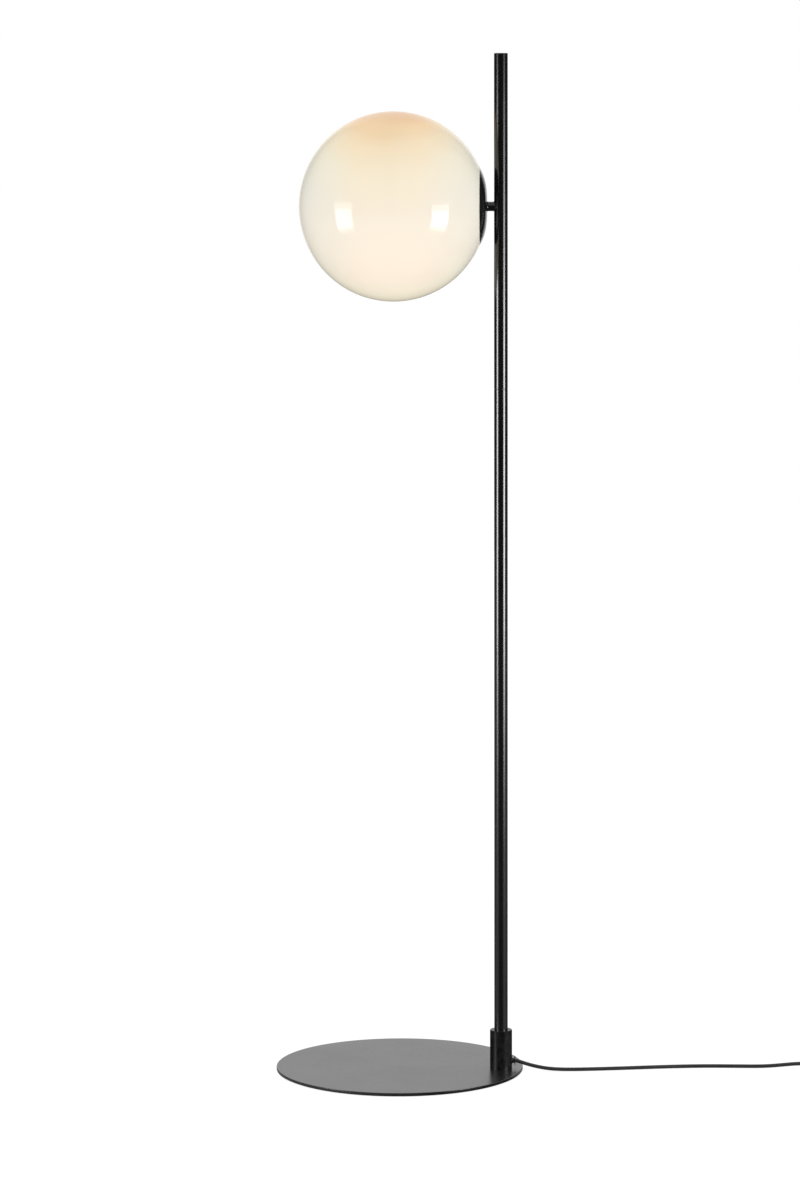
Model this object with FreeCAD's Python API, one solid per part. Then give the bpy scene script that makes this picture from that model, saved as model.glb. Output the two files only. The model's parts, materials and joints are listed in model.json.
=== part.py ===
import FreeCAD, Part
import math
import os

# A floor lamp: an opal glass globe on a short arm, a slim round stem that stands near the
# edge of a flat steel disc, and a mains cord with a foot switch and a plug.
#
# Millimetres. +Z is up, and z = 0 is the floor. The origin is under the centre of the disc.
# The arm points along -X from the stem, so the globe hangs over the middle of the disc, and
# the cord leaves the stem's socket along +X.

V = FreeCAD.Vector
UP = V(0, 0, 1)
ALONG_X = V(1, 0, 0)
ALONG_Y = V(0, 1, 0)

# ---------------------------------------------------------------- driving dimensions

HEIGHT = 1350.0                  # floor to the top of the stem

# foot
PLATE_DIA = 330.0
PLATE_THICK = 4.0
PLATE_EDGE = 0.7                 # broken edge of the disc
PAD_THICK = 1.0
PAD_INSET = 3.0
PLATE_TOP = PAD_THICK + PLATE_THICK

# stem
STEM_X = 136.0
STEM_Y = -13.0
STEM_DIA = 18.0
STEM_WALL = 1.2
STEM_SEAM_Z = 913.0              # where the lower tube ends and the upper one begins
CAP_HEAD = 1.5
CAP_EDGE = 0.4
CAP_SPIGOT = 6.0                 # part of the cap inside the tube
CAP_LEAD = 0.6                   # its tapered end
JOIN_BUSH_TALL = 16.0            # threaded bush in each tube's end at the seam
JOIN_THREAD_R = 6.0
JOIN_BORE_R = 4.4
JOIN_NIPPLE_SHORT = 2.0          # the nipple stops this far inside each bush
JOIN_GAP = 0.1

# socket that holds the stem on the disc
SOCKET_DIA = 29.5
SOCKET_TALL = 52.0
SOCKET_FLOOR = 5.0               # solid bottom that the fixing screws thread into
CHAMBER_DIA = 15.0               # room below the stem for the cord's bend
CHAMBER_TALL = 11.0
FIT = 0.05                       # radial clearance of a tube in its seat
SOCKET_EDGE = 0.5
FIX_SCREW_R = 2.0
FIX_SCREW_LONG = 8.0
FIX_SCREW_RING = 8.5
FIX_SCREW_COUNT = 3
FIX_HEAD_R = 3.75
FIX_HEAD_TALL = 2.0
GRUB_R = 2.5
GRUB_Z = 42.0
GRUB_ANGLES = (60.0, 120.0)      # on the far side from the front, degrees round from +X
HEX_KEY = 2.5                    # across the flats of the screws' sockets
FIX_KEY_DEEP = 1.4
GRUB_KEY_DEEP = 2.0

# cord
CORD_DIA = 5.0
CORD_R = CORD_DIA / 2
CORD_EXIT_Z = 14.8
BUSH_FLANGE_R = 5.3
BUSH_FLANGE_OUT = 3.2            # from the socket's surface to the flange
BUSH_FLANGE_THICK = 1.2
BUSH_BODY_R = 3.9
BUSH_NOSE_LONG = 2.4
BUSH_NOSE_R = 2.9

# arm and globe
ARM_Z = 1151.5
ARM_REACH = 140.5                # stem's axis to the globe's centre
ARM_DIA = 12.3
GLOBE_DIA = 248.0
GLASS_THICK = 3.0
GLASS_GROUND = 0.6               # bevel round the mouth
MOUTH_AT = 112.8                 # globe's centre to the ground edge of its mouth
GASKET_THICK = 0.5
GASKET_INNER_R = 46.8
GASKET_INSET = 0.4
NIPPLE_R = 5.0
NIPPLE_BORE_R = 3.6
NIPPLE_END_AT = 107.0            # globe's centre to the nipple's inner end
SLEEVE_FLARE = 0.9               # the sleeve's end at the cup stands out this far
SLEEVE_FLARE_LONG = 1.1

# cup behind the globe: distances from the globe's centre, and radii
CUP_RIM_R = 49.6
CUP_FLANGE_MID = (117.6, 40.5)   # a place on the curved flange
CUP_BREAK = (120.6, 30.5)        # where the flange meets the flatter back
CUP_BACK_MID = (121.8, 23.0)     # a place on the curved back
CUP_BACK_AT = 122.5
CUP_FLAT_R = 14.0
CUP_WALL = 1.3

# what holds the globe and the cup, on the nipple
SPRING_THICK = 0.8
SPRING_RING_R = 13.0
FINGER_COUNT = 3
FINGER_WIDE = 8.0
FINGER_LINE = [(118.2, 31.0), (115.6, 36.5), (113.2, 40.8), (110.6, 42.7), (105.5, 41.2)]
WASHER_R = 9.0
WASHER_THICK = 1.0
NUT_FLATS = 14.0
NUT_THICK = 3.2

# lampholder and bulb, as distances from the globe's centre towards the stem
HOLDER_TOP_AT = 115.2
HOLDER_JOINT_AT = 97.0
HOLDER_FACE_AT = 66.0
HOLDER_R = 20.0
HOLDER_WALL = 2.2
HOLDER_BOSS_R = 8.6              # neck of the holder's cap
INSERT_LOW_AT = 89.6             # front of the insulating block
TERMINAL_REACH = 8.0             # terminals' distance from the axis
TERMINAL_R = 1.5
TERMINAL_HEAD_R = 2.6
TERMINAL_HEAD_TALL = 1.6
TERMINAL_SEAT = 3.0              # from the block's front to the end of a terminal screw
TERMINAL_SHANK = 4.4
SHELL_BORE_R = 13.4
SHELL_THICK = 0.5
SHELL_LIP_R = 10.5
SHELL_SET_BACK = 0.4
TONGUE_THICK = 0.5
TONGUE_WIDE = 5.0
TONGUE_GAP = 0.15
BULB_TIP_AT = -17.0
BULB_R = 30.0
BULB_WALL = 1.0
BULB_WAIST = (26.0, 28.6)        # a place on the dome between its widest round and its joint
BULB_JOINT_AT = 36.0
BULB_JOINT_R = 24.5
BULB_FLARE_MID = (48.0, 18.6)    # a place on the body's flare
BULB_NECK_R = 15.0
BULB_CAP_R = 13.1
BULB_CAP_SKIRT = 4.0             # smooth part of the cap before its thread
BULB_CONTACT_AT = 88.0
BULB_INSULATOR = 4.0
THREAD_PITCH = 3.63
THREAD_TURNS = 5
THREAD_DEEP = 0.9
FLEX_END_AT = 103.0              # where the flex's sheath is stripped
FLEX_BEND = 7.6
CORE_R = 0.9
CORE_APART = 1.2                 # cores' distance from the axis inside the sheath
CORE_END_GAP = 0.2

# foot switch
SWITCH_X = 612.0
SWITCH_Y = 4.0
SWITCH_LONG = 84.0
SWITCH_WIDE = 54.0
SWITCH_CORNER = 24.0
SWITCH_FOOT = 1.0                # rubber feet under it
SWITCH_SPLIT_Z = 9.0
SWITCH_TOP_Z = 24.0
SWITCH_WALL = 2.0
SWITCH_CORD_Z = 8.5
BUTTON_R = 15.0
BUTTON_GAP = 0.3
BUTTON_TOP_Z = 29.0
BUTTON_COLLAR = 1.4              # width of the collar that keeps the button in
BUTTON_COLLAR_THICK = 2.0
BUTTON_SKIRT = 3.0               # spring guide under the button
BUTTON_SKIRT_R = (5.2, 7.0)
BUTTON_EDGE = 1.6
BUTTON_DISH = 0.7
SWITCH_TOP_ROUND = 7.0
POST_OUT = (26.0, 17.0)          # screw posts from the switch's middle
POST_R = 4.0
POST_UPPER_R = 3.4
CASE_SCREW_R = 1.4
CASE_SCREW_LONG = 14.0
CASE_HEAD_R = 2.8
CASE_HEAD_TALL = 2.0
CASE_HEAD_SUNK = 0.6
CROSS_LONG = 3.4
CROSS_WIDE = 0.7
CROSS_DEEP = 1.2
FOOT_OUT = (28.0, 9.0)
FOOT_R = 4.0
BLOCK_LONG = 30.0
BLOCK_WIDE = 18.0
BLOCK_TOP_Z = 10.6
GUIDE_R = 2.6
GUIDE_TALL = 2.6
COIL_SPRING_WIRE_R = 0.35
COIL_SPRING_R = 3.9
COIL_SPRING_TURNS = 4
COIL_SPRING_GAP = 0.05
RELIEF_LONG = 22.0
RELIEF_INSIDE = 6.0              # part of the relief inside the casing
RELIEF_GROOVES = 4
RELIEF_THICK_R = 4.6
RELIEF_THIN_R = 3.1

# coil of the spare cord
COIL_X = 590.0
COIL_Y = 97.5
COIL_LOW_Z = 3.7                 # middle of the lower layer of turns
COIL_LAYER = 5.5                 # from one layer to the next
COIL_PITCH = 5.6                 # from one turn to the next
COIL_INNER_R = 21.0
COIL_LOW_TURNS = 2.5             # in the lower layer, winding in
COIL_HIGH_TURNS = 3.0            # in the upper layer, winding out
COIL_END = 6.0                   # straight ends of the coil
TIE_WIDE = 12.0
TIE_THICK = 0.8
TIE_GAP = 0.3
TIE_INSET = 1.4                  # free space between the innermost turn and the tie
TIE_CORNER = 3.0

# plug
PLUG_LONG = 36.0
PLUG_WIDE = 35.0
PLUG_THICK = 13.8
PLUG_BACK_WIDE = 20.0
PLUG_BACK_THICK = 12.0
PIN_R = 2.0
PIN_LONG = 19.0
PIN_SPACING = 19.0
PIN_NOSE = 1.2
PIN_NOSE_IN = 0.9
PLUG_RELIEF_LONG = 26.0
PLUG_RELIEF_R = 5.4

# ---------------------------------------------------------------- worked-out places

CORNER_IN = 1 - math.sqrt(0.5)   # how far in a round corner's middle stands, for a radius of 1
SOCKET_R = SOCKET_DIA / 2
STEM_R = STEM_DIA / 2
STEM_BORE_R = STEM_R - STEM_WALL
SOCKET_TOP = PLATE_TOP + SOCKET_TALL
CHAMBER_LOW = PLATE_TOP + SOCKET_FLOOR
STEM_FOOT_Z = CHAMBER_LOW + CHAMBER_TALL
GLOBE_X = STEM_X - ARM_REACH
GLOBE_R = GLOBE_DIA / 2
ARM_R = ARM_DIA / 2
RIM_AT = MOUTH_AT + GASKET_THICK
CUP_SHEET_IN = CUP_BACK_AT - CUP_WALL
SPRING_AT = CUP_SHEET_IN - SPRING_THICK
BULB_THREAD_AT = BULB_CONTACT_AT - BULB_INSULATOR - THREAD_TURNS * THREAD_PITCH
BULB_NECK_AT = BULB_THREAD_AT - BULB_CAP_SKIRT
BUSH_TIP_X = STEM_X + SOCKET_R + BUSH_FLANGE_OUT + BUSH_FLANGE_THICK + BUSH_NOSE_LONG
SWITCH_LEFT = SWITCH_X - SWITCH_LONG / 2
SWITCH_RIGHT = SWITCH_X + SWITCH_LONG / 2
COIL_START_R = COIL_INNER_R + COIL_PITCH * COIL_LOW_TURNS
COIL_END_R = COIL_INNER_R + COIL_PITCH * COIL_HIGH_TURNS
COIL_HIGH_Z = COIL_LOW_Z + COIL_LAYER
PLUG_X = 671.0                   # tip of the plug's moulded relief
PLUG_Y = COIL_Y + COIL_END_R
PLUG_Z = PLUG_THICK / 2

# The cord's free stretches, as points chosen by hand. It leaves the bushing straight, passes
# over the edge of the disc, comes down to the floor and runs to the foot switch.
CORD_TO_SWITCH = [
    (BUSH_TIP_X, STEM_Y, CORD_EXIT_Z),
    (162.2, STEM_Y, CORD_EXIT_Z),
    (170.8, -13.0, 13.5),
    (182.0, -12.9, 10.5),
    (194.5, -12.6, 6.5),
    (209.0, -12.1, 3.4),
    (228.0, -11.1, 2.5),
    (256.0, -8.6, 2.5),
    (302.0, -1.6, 2.5),
    (353.0, 7.6, 2.5),
    (404.0, 13.6, 2.5),
    (452.0, 13.2, 2.5),
    (489.0, 8.9, 3.4),
    (515.0, 5.0, 6.6),
    (532.0, SWITCH_Y, SWITCH_CORD_Z),
    (SWITCH_LEFT - RELIEF_LONG, SWITCH_Y, SWITCH_CORD_Z),
]
# From the foot switch round to the start of the coil.
CORD_TO_COIL = [
    (SWITCH_RIGHT + RELIEF_LONG, SWITCH_Y, SWITCH_CORD_Z),
    (690.0, SWITCH_Y, SWITCH_CORD_Z),
    (703.6, 10.3, 6.9),
    (712.2, 22.6, 4.9),
    (713.5, 37.5, 3.3),
    (707.2, 51.1, 2.7),
    (694.9, 59.7, 2.6),
    (677.2, 62.8, 2.8),
    (651.0, 62.0, 3.3),
    (624.0, COIL_Y - COIL_START_R, COIL_LOW_Z),
    (COIL_X + COIL_END, COIL_Y - COIL_START_R, COIL_LOW_Z),
]
# From the end of the coil to the plug.
CORD_TO_PLUG = [
    (COIL_X + COIL_END, PLUG_Y, COIL_HIGH_Z),
    (610.0, PLUG_Y, COIL_HIGH_Z),
    (626.0, PLUG_Y - 0.7, 8.3),
    (643.0, PLUG_Y - 0.9, 7.4),
    (658.0, PLUG_Y, PLUG_Z),
    (PLUG_X, PLUG_Y, PLUG_Z),
]

# ---------------------------------------------------------------- shape helpers


def on_axis(distance):
    """A place on the arm's axis, at a distance from the globe's centre."""
    return V(GLOBE_X + distance, STEM_Y, ARM_Z)


def ring(outer_r, inner_r, long, foot, axis=UP):
    """A round tube, or a washer."""
    outer = Part.makeCylinder(outer_r, long, foot, axis)
    return outer.cut(Part.makeCylinder(inner_r, long, foot, axis))


def closed_face(path, place):
    """A flat face from a list of points; a pair of points stands for an arc and its end."""
    edges = []
    here = place(path[0])
    for step in path[1:] + path[:1]:
        if isinstance(step[0], tuple):
            through = place(step[0])
            there = place(step[1])
            edges.append(Part.Arc(here, through, there).toShape())
        else:
            there = place(step)
            if there.distanceToPoint(here) < 1e-6:
                continue
            edges.append(Part.LineSegment(here, there).toShape())
        here = there
    return Part.Face(Part.Wire(edges))


def turned_on_arm(path):
    """A body turned about the arm's axis, from points (distance from the centre, radius)."""
    face = closed_face(path, lambda p: V(GLOBE_X + p[0], STEM_Y, ARM_Z + p[1]))
    return face.revolve(on_axis(0), ALONG_X, 360)


def turned_upright(path, x, y):
    """A body turned about an upright axis, from points (radius, height)."""
    face = closed_face(path, lambda p: V(x + p[0], y, p[1]))
    return face.revolve(V(x, y, 0), UP, 360)


def rounded_plate(cx, cy, long, wide, corner, low, tall):
    """An upright prism with a rounded rectangle as its outline."""
    dx = long / 2
    dy = wide / 2
    k = corner * CORNER_IN
    path = [
        (-dx + corner, -dy),
        (dx - corner, -dy),
        ((dx - k, -dy + k), (dx, -dy + corner)),
        (dx, dy - corner),
        ((dx - k, dy - k), (dx - corner, dy)),
        (-dx + corner, dy),
        ((-dx + k, dy - k), (-dx, dy - corner)),
        (-dx, -dy + corner),
        ((-dx + k, -dy + k), (-dx + corner, -dy)),
    ]
    return closed_face(path, lambda p: V(cx + p[0], cy + p[1], low)).extrude(UP * tall)


def hex_prism(flats, long, foot, axis):
    """A hexagonal bar, measured across its flats."""
    reach = flats / math.sqrt(3)
    side = axis.cross(UP)
    if side.Length < 0.1:
        side = V(1, 0, 0)
    side.normalize()
    other = axis.cross(side)
    corners = []
    for k in range(7):
        turn = math.radians(60 * k)
        corners.append(foot + side * (reach * math.cos(turn)) + other * (reach * math.sin(turn)))
    return Part.Face(Part.makePolygon(corners)).extrude(axis * long)


def bent_path(points, name=""):
    """Straight runs joined by tangent arcs, each as large as its two runs allow."""
    spots = [V(*p) for p in points]
    edges = []
    radii = []
    here = spots[0]
    for k in range(1, len(spots) - 1):
        back = spots[k - 1] - spots[k]
        ahead = spots[k + 1] - spots[k]
        shorter = min(back.Length, ahead.Length)
        back.normalize()
        ahead.normalize()
        half_turn = (math.pi - back.getAngle(ahead)) / 2
        cut = 0.45 * shorter
        radius = cut / math.tan(half_turn)
        radii.append(radius)
        start = spots[k] + back * cut
        end = spots[k] + ahead * cut
        inward = back + ahead
        inward.normalize()
        middle = spots[k] + inward * (radius / math.cos(half_turn) - radius)
        edges.append(Part.LineSegment(here, start).toShape())
        edges.append(Part.Arc(start, middle, end).toShape())
        here = end
    edges.append(Part.LineSegment(here, spots[-1]).toShape())
    if name:
        print(name, "radii", " ".join("%.0f" % r for r in radii))
    return Part.Wire(edges)


def round_tube(path, radius, name=""):
    """A solid round tube along a path that starts square to its first edge."""
    first = path.Edges[0]
    start = first.valueAt(first.FirstParameter)
    heading = first.tangentAt(first.FirstParameter)
    section = Part.Wire(Part.makeCircle(radius, start, heading))
    tube = path.makePipeShell([section], True, False)
    if name:
        plain = math.pi * radius ** 2 * path.Length
        print("%s: length %.0f, volume %.4f of section times length"
              % (name, path.Length, tube.Volume / plain))
    return tube


def tangent_arc(start, heading, end):
    """The arc that leaves start along heading and reaches end, and its middle point."""
    chord = end - start
    along = chord.dot(heading)
    across = chord - heading * along
    rise = across.Length
    if rise < 1e-7:
        return Part.LineSegment(start, end).toShape()
    across.normalize()
    radius = chord.dot(chord) / (2 * rise)
    centre = start + across * radius
    to_middle = (start + end) * 0.5 - centre
    to_middle.normalize()
    middle = centre + to_middle * radius
    return Part.Arc(start, middle, end).toShape()


def biarc(start, heading, end, leaving):
    """Two arcs that join two places and meet each other and both headings smoothly."""
    chord = end - start
    both = heading + leaving
    spread = 2 * (1 - heading.dot(leaving))
    lean = chord.dot(both)
    reach = (math.sqrt(lean ** 2 + spread * chord.dot(chord)) - lean) / spread
    joint = (start + end + (heading - leaving) * reach) * 0.5
    first = tangent_arc(start, heading, joint)
    middle_heading = joint - start - heading * reach
    middle_heading.normalize()
    return [first, tangent_arc(joint, middle_heading, end)]


def least_gap(wire, radius, spare):
    """The least free distance between two stretches of a wound tube."""
    spots = wire.discretize(Distance=1.5)
    step = wire.Length / (len(spots) - 1)
    apart = int(spare / step)
    least = 1e9
    for i in range(len(spots) - apart):
        for j in range(i + apart, len(spots)):
            least = min(least, spots[i].distanceToPoint(spots[j]))
    return least - 2 * radius


def thick_strip(points, thick):
    """A closed outline that stands half a thickness each side of a line of points."""
    left = []
    right = []
    for k, (u, v) in enumerate(points):
        u0, v0 = points[max(k - 1, 0)]
        u1, v1 = points[min(k + 1, len(points) - 1)]
        turn = math.atan2(v1 - v0, u1 - u0)
        du = -math.sin(turn) * thick / 2
        dv = math.cos(turn) * thick / 2
        left.append((u + du, v + dv))
        right.append((u - du, v - dv))
    return left + right[::-1]


# ---------------------------------------------------------------- foot


def screw_spots():
    """Centres of the countersunk screws that hold the socket on the disc."""
    spots = []
    for k in range(FIX_SCREW_COUNT):
        turn = math.radians(90 + 360 * k / FIX_SCREW_COUNT)
        spots.append((STEM_X + FIX_SCREW_RING * math.cos(turn), STEM_Y + FIX_SCREW_RING * math.sin(turn)))
    return spots


def fix_screw(x, y, grow=0.0):
    """A countersunk screw, head down in the disc's underside."""
    head = Part.makeCone(FIX_HEAD_R + grow, FIX_SCREW_R + grow, FIX_HEAD_TALL, V(x, y, PAD_THICK), UP)
    shank = Part.makeCylinder(FIX_SCREW_R + grow, FIX_SCREW_LONG + 2 * grow, V(x, y, PAD_THICK), UP)
    return head.fuse(shank)


def base_plate():
    r = PLATE_DIA / 2
    k = CORNER_IN * PLATE_EDGE
    disc = turned_upright([
        (0, PAD_THICK),
        (r - PLATE_EDGE, PAD_THICK),
        (r, PAD_THICK + PLATE_EDGE),
        (r, PLATE_TOP - PLATE_EDGE),
        ((r - k, PLATE_TOP - k), (r - PLATE_EDGE, PLATE_TOP)),
        (0, PLATE_TOP),
    ], 0, 0)
    for x, y in screw_spots():
        disc = disc.cut(fix_screw(x, y, FIT))
    return disc


def base_pad():
    return Part.makeCylinder(PLATE_DIA / 2 - PAD_INSET, PAD_THICK)


def socket_screws():
    screws = []
    for x, y in screw_spots():
        key = hex_prism(HEX_KEY, FIX_KEY_DEEP, V(x, y, PAD_THICK), UP)
        screws.append(fix_screw(x, y).cut(key))
    return screws


def grub_direction(angle):
    turn = math.radians(angle)
    return V(math.cos(turn), math.sin(turn), 0)


def grub_screws():
    screws = []
    for angle in GRUB_ANGLES:
        out = grub_direction(angle)
        foot = V(STEM_X, STEM_Y, GRUB_Z) + out * (STEM_R + 0.1)
        long = SOCKET_R - STEM_R - 0.5
        screw = Part.makeCylinder(GRUB_R, long, foot, out)
        key = hex_prism(HEX_KEY, GRUB_KEY_DEEP, foot + out * (long - GRUB_KEY_DEEP), out)
        screws.append(screw.cut(key))
    return screws


def base_socket():
    body = turned_upright([
        (0, PLATE_TOP),
        (SOCKET_R, PLATE_TOP),
        (SOCKET_R, SOCKET_TOP - SOCKET_EDGE),
        (SOCKET_R - SOCKET_EDGE, SOCKET_TOP),
        (0, SOCKET_TOP),
    ], STEM_X, STEM_Y)
    centre = V(STEM_X, STEM_Y, 0)
    body = body.cut(Part.makeCylinder(CHAMBER_DIA / 2, CHAMBER_TALL, centre + UP * CHAMBER_LOW, UP))
    seat_tall = SOCKET_TOP - STEM_FOOT_Z
    body = body.cut(Part.makeCylinder(STEM_R + FIT, seat_tall, centre + UP * STEM_FOOT_Z, UP))
    side = Part.makeCylinder(BUSH_BODY_R + FIT, SOCKET_R, centre + UP * CORD_EXIT_Z, ALONG_X)
    body = body.cut(side)
    for x, y in screw_spots():
        body = body.cut(fix_screw(x, y, FIT))
    for angle in GRUB_ANGLES:
        hole = Part.makeCylinder(GRUB_R + FIT, SOCKET_R, centre + UP * GRUB_Z, grub_direction(angle))
        body = body.cut(hole)
    return body


def cord_bushing():
    """Flanged bushing that grips the cord where it leaves the socket."""
    inner = math.sqrt((CHAMBER_DIA / 2) ** 2 - BUSH_BODY_R ** 2)
    flange_at = SOCKET_R + BUSH_FLANGE_OUT
    nose_at = flange_at + BUSH_FLANGE_THICK
    bore_r = CORD_R + FIT
    rounding = 0.3
    taper = 0.5
    outline = [
        (inner, bore_r),
        (inner, BUSH_BODY_R),
        (SOCKET_R + 0.2, BUSH_BODY_R),
        (flange_at, BUSH_BODY_R - taper),
        (flange_at, BUSH_FLANGE_R - rounding),
        ((flange_at + BUSH_FLANGE_THICK / 2, BUSH_FLANGE_R), (nose_at, BUSH_FLANGE_R - rounding)),
        (nose_at, BUSH_NOSE_R + taper),
        (nose_at + BUSH_NOSE_LONG, BUSH_NOSE_R),
        (nose_at + BUSH_NOSE_LONG, bore_r),
    ]
    face = closed_face(outline, lambda p: V(STEM_X + p[0], STEM_Y, CORD_EXIT_Z + p[1]))
    return face.revolve(V(STEM_X, STEM_Y, CORD_EXIT_Z), ALONG_X, 360)


# ---------------------------------------------------------------- stem


def stem_tube(low, high):
    return ring(STEM_R, STEM_BORE_R, high - low, V(STEM_X, STEM_Y, low))


def lower_tube():
    return stem_tube(STEM_FOOT_Z, STEM_SEAM_Z - JOIN_GAP)


def upper_tube():
    tube = stem_tube(STEM_SEAM_Z + JOIN_GAP, HEIGHT - CAP_HEAD)
    wire_hole = Part.makeCylinder(NIPPLE_BORE_R, STEM_R, V(STEM_X, STEM_Y, ARM_Z), ALONG_X * -1)
    return tube.cut(wire_hole)


def tube_bush(low):
    """Threaded bush pressed into the end of a stem tube."""
    return ring(STEM_BORE_R - FIT, JOIN_THREAD_R + FIT, JOIN_BUSH_TALL, V(STEM_X, STEM_Y, low))


def tube_nipple():
    """Hollow threaded nipple that draws the two stem tubes together."""
    tall = 2 * (JOIN_BUSH_TALL - JOIN_NIPPLE_SHORT)
    return ring(JOIN_THREAD_R, JOIN_BORE_R, tall, V(STEM_X, STEM_Y, STEM_SEAM_Z - tall / 2))


def top_cap():
    low = HEIGHT - CAP_HEAD
    foot = low - CAP_SPIGOT
    spigot_r = STEM_BORE_R - FIT
    return turned_upright([
        (0, foot),
        (spigot_r - CAP_LEAD / 2, foot),
        (spigot_r, foot + CAP_LEAD),
        (spigot_r, low),
        (STEM_R, low),
        (STEM_R, HEIGHT - CAP_EDGE),
        (STEM_R - CAP_EDGE, HEIGHT),
        (0, HEIGHT),
    ], STEM_X, STEM_Y)


# ---------------------------------------------------------------- arm, cup and globe


def arm_sleeve():
    """Threaded sleeve brazed to the stem, with a saddle end and a small flare at the cup."""
    stem_at = ARM_REACH - STEM_R
    body = turned_on_arm([
        (CUP_BACK_AT, NIPPLE_R + FIT),
        (CUP_BACK_AT, ARM_R + SLEEVE_FLARE),
        ((CUP_BACK_AT + 0.36 * SLEEVE_FLARE_LONG, ARM_R + 0.28 * SLEEVE_FLARE),
         (CUP_BACK_AT + SLEEVE_FLARE_LONG, ARM_R)),
        (stem_at + STEM_R / 2, ARM_R),
        (stem_at + STEM_R / 2, NIPPLE_R + FIT),
    ])
    stem = Part.makeCylinder(STEM_R, 4 * ARM_DIA, V(STEM_X, STEM_Y, ARM_Z - 2 * ARM_DIA), UP)
    return body.cut(stem)


def arm_nipple():
    """Hollow threaded nipple that carries the cup and the lampholder and lets the flex by."""
    long = ARM_REACH - STEM_R - 0.6 - NIPPLE_END_AT
    return ring(NIPPLE_R, NIPPLE_BORE_R, long, on_axis(NIPPLE_END_AT), ALONG_X)


def cup_blank(shift):
    """The dish's outer form, filled, moved along the arm's axis."""
    skirt = 4.0
    path = [
        (RIM_AT - skirt, 0),
        (RIM_AT - skirt, CUP_RIM_R),
        (RIM_AT, CUP_RIM_R),
        (CUP_FLANGE_MID, CUP_BREAK),
        (CUP_BACK_MID, (CUP_BACK_AT, CUP_FLAT_R)),
        (CUP_BACK_AT, 0),
    ]
    blank = turned_on_arm(path)
    blank.translate(ALONG_X * shift)
    return blank


def globe_cup():
    """Spun dish that closes the globe's mouth."""
    solid = cup_blank(0).cut(cup_blank(-CUP_WALL))
    reach = 20.0
    solid = solid.cut(Part.makeCylinder(2 * CUP_RIM_R, reach, on_axis(RIM_AT), ALONG_X * -1))
    return solid.cut(Part.makeCylinder(NIPPLE_R + FIT, reach, on_axis(RIM_AT), ALONG_X))


def globe_gasket():
    return ring(CUP_RIM_R - GASKET_INSET, GASKET_INNER_R, GASKET_THICK, on_axis(MOUTH_AT), ALONG_X)


def globe_spring():
    """Three spring fingers on one ring, which grip the globe's mouth from inside."""
    root = (SPRING_AT + SPRING_THICK / 2, SPRING_RING_R - 2)
    bracket = ring(SPRING_RING_R, NIPPLE_R + FIT, SPRING_THICK, on_axis(SPRING_AT), ALONG_X)
    face = closed_face(thick_strip([root] + FINGER_LINE, SPRING_THICK),
                       lambda p: V(GLOBE_X + p[0], STEM_Y - FINGER_WIDE / 2, ARM_Z + p[1]))
    finger = face.extrude(ALONG_Y * FINGER_WIDE)
    for k in range(FINGER_COUNT):
        turned = finger.copy()
        turned.rotate(on_axis(0), ALONG_X, 360 * k / FINGER_COUNT)
        bracket = bracket.fuse(turned)
    return bracket.removeSplitter()


def cup_washer():
    return ring(WASHER_R, NIPPLE_R + FIT, WASHER_THICK, on_axis(SPRING_AT - WASHER_THICK), ALONG_X)


def cup_nut():
    at = SPRING_AT - WASHER_THICK - NUT_THICK
    nut = hex_prism(NUT_FLATS, NUT_THICK, on_axis(at), ALONG_X)
    return nut.cut(Part.makeCylinder(NIPPLE_R + FIT, NUT_THICK, on_axis(at), ALONG_X))


def glass_globe():
    """Blown glass ball with a wide mouth, ground flat, on the side of the arm."""
    inner_r = GLOBE_R - GLASS_THICK
    lip_at = MOUTH_AT - GLASS_GROUND
    lip_r = math.sqrt(GLOBE_R ** 2 - lip_at ** 2)
    mouth_r = math.sqrt(GLOBE_R ** 2 - MOUTH_AT ** 2)
    inner_mouth_r = math.sqrt(inner_r ** 2 - MOUTH_AT ** 2)
    return turned_on_arm([
        (-GLOBE_R, 0),
        ((0, GLOBE_R), (lip_at, lip_r)),
        (MOUTH_AT, mouth_r - GLASS_GROUND),
        (MOUTH_AT, inner_mouth_r),
        ((0, inner_r), (-inner_r, 0)),
    ])


# ---------------------------------------------------------------- lampholder


def holder_cap():
    """Domed back of the lampholder, threaded on to the nipple."""
    wall = HOLDER_WALL
    return turned_on_arm([
        (HOLDER_TOP_AT, NIPPLE_R + FIT),
        (HOLDER_TOP_AT, HOLDER_BOSS_R - 0.4),
        (HOLDER_TOP_AT - 6.5, HOLDER_BOSS_R),
        ((HOLDER_TOP_AT - 9.0, 15.0), (HOLDER_JOINT_AT + 3, HOLDER_R)),
        (HOLDER_JOINT_AT, HOLDER_R),
        (HOLDER_JOINT_AT, HOLDER_R - wall),
        (HOLDER_JOINT_AT + 3, HOLDER_R - wall),
        ((HOLDER_TOP_AT - 10.4, 13.6), (HOLDER_TOP_AT - 8.6, HOLDER_BOSS_R - wall + 1)),
        (HOLDER_TOP_AT - 8.6, NIPPLE_R + FIT),
    ])


def holder_body():
    """Outer sleeve of the lampholder, with a rounded mouth."""
    wall = HOLDER_WALL
    round_r = wall / 2
    k = CORNER_IN * round_r
    return turned_on_arm([
        (HOLDER_FACE_AT + round_r, HOLDER_R),
        (HOLDER_JOINT_AT, HOLDER_R),
        (HOLDER_JOINT_AT, HOLDER_R - wall),
        (HOLDER_FACE_AT + wall, HOLDER_R - wall),
        (HOLDER_FACE_AT + wall, SHELL_BORE_R + SHELL_THICK + FIT),
        (HOLDER_FACE_AT, SHELL_BORE_R + SHELL_THICK + FIT),
        (HOLDER_FACE_AT, HOLDER_R - round_r),
        ((HOLDER_FACE_AT + k, HOLDER_R - k), (HOLDER_FACE_AT + round_r, HOLDER_R)),
    ])


def terminal_spot(side):
    return on_axis(INSERT_LOW_AT + TERMINAL_SEAT) + ALONG_Y * (TERMINAL_REACH * side)


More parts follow.
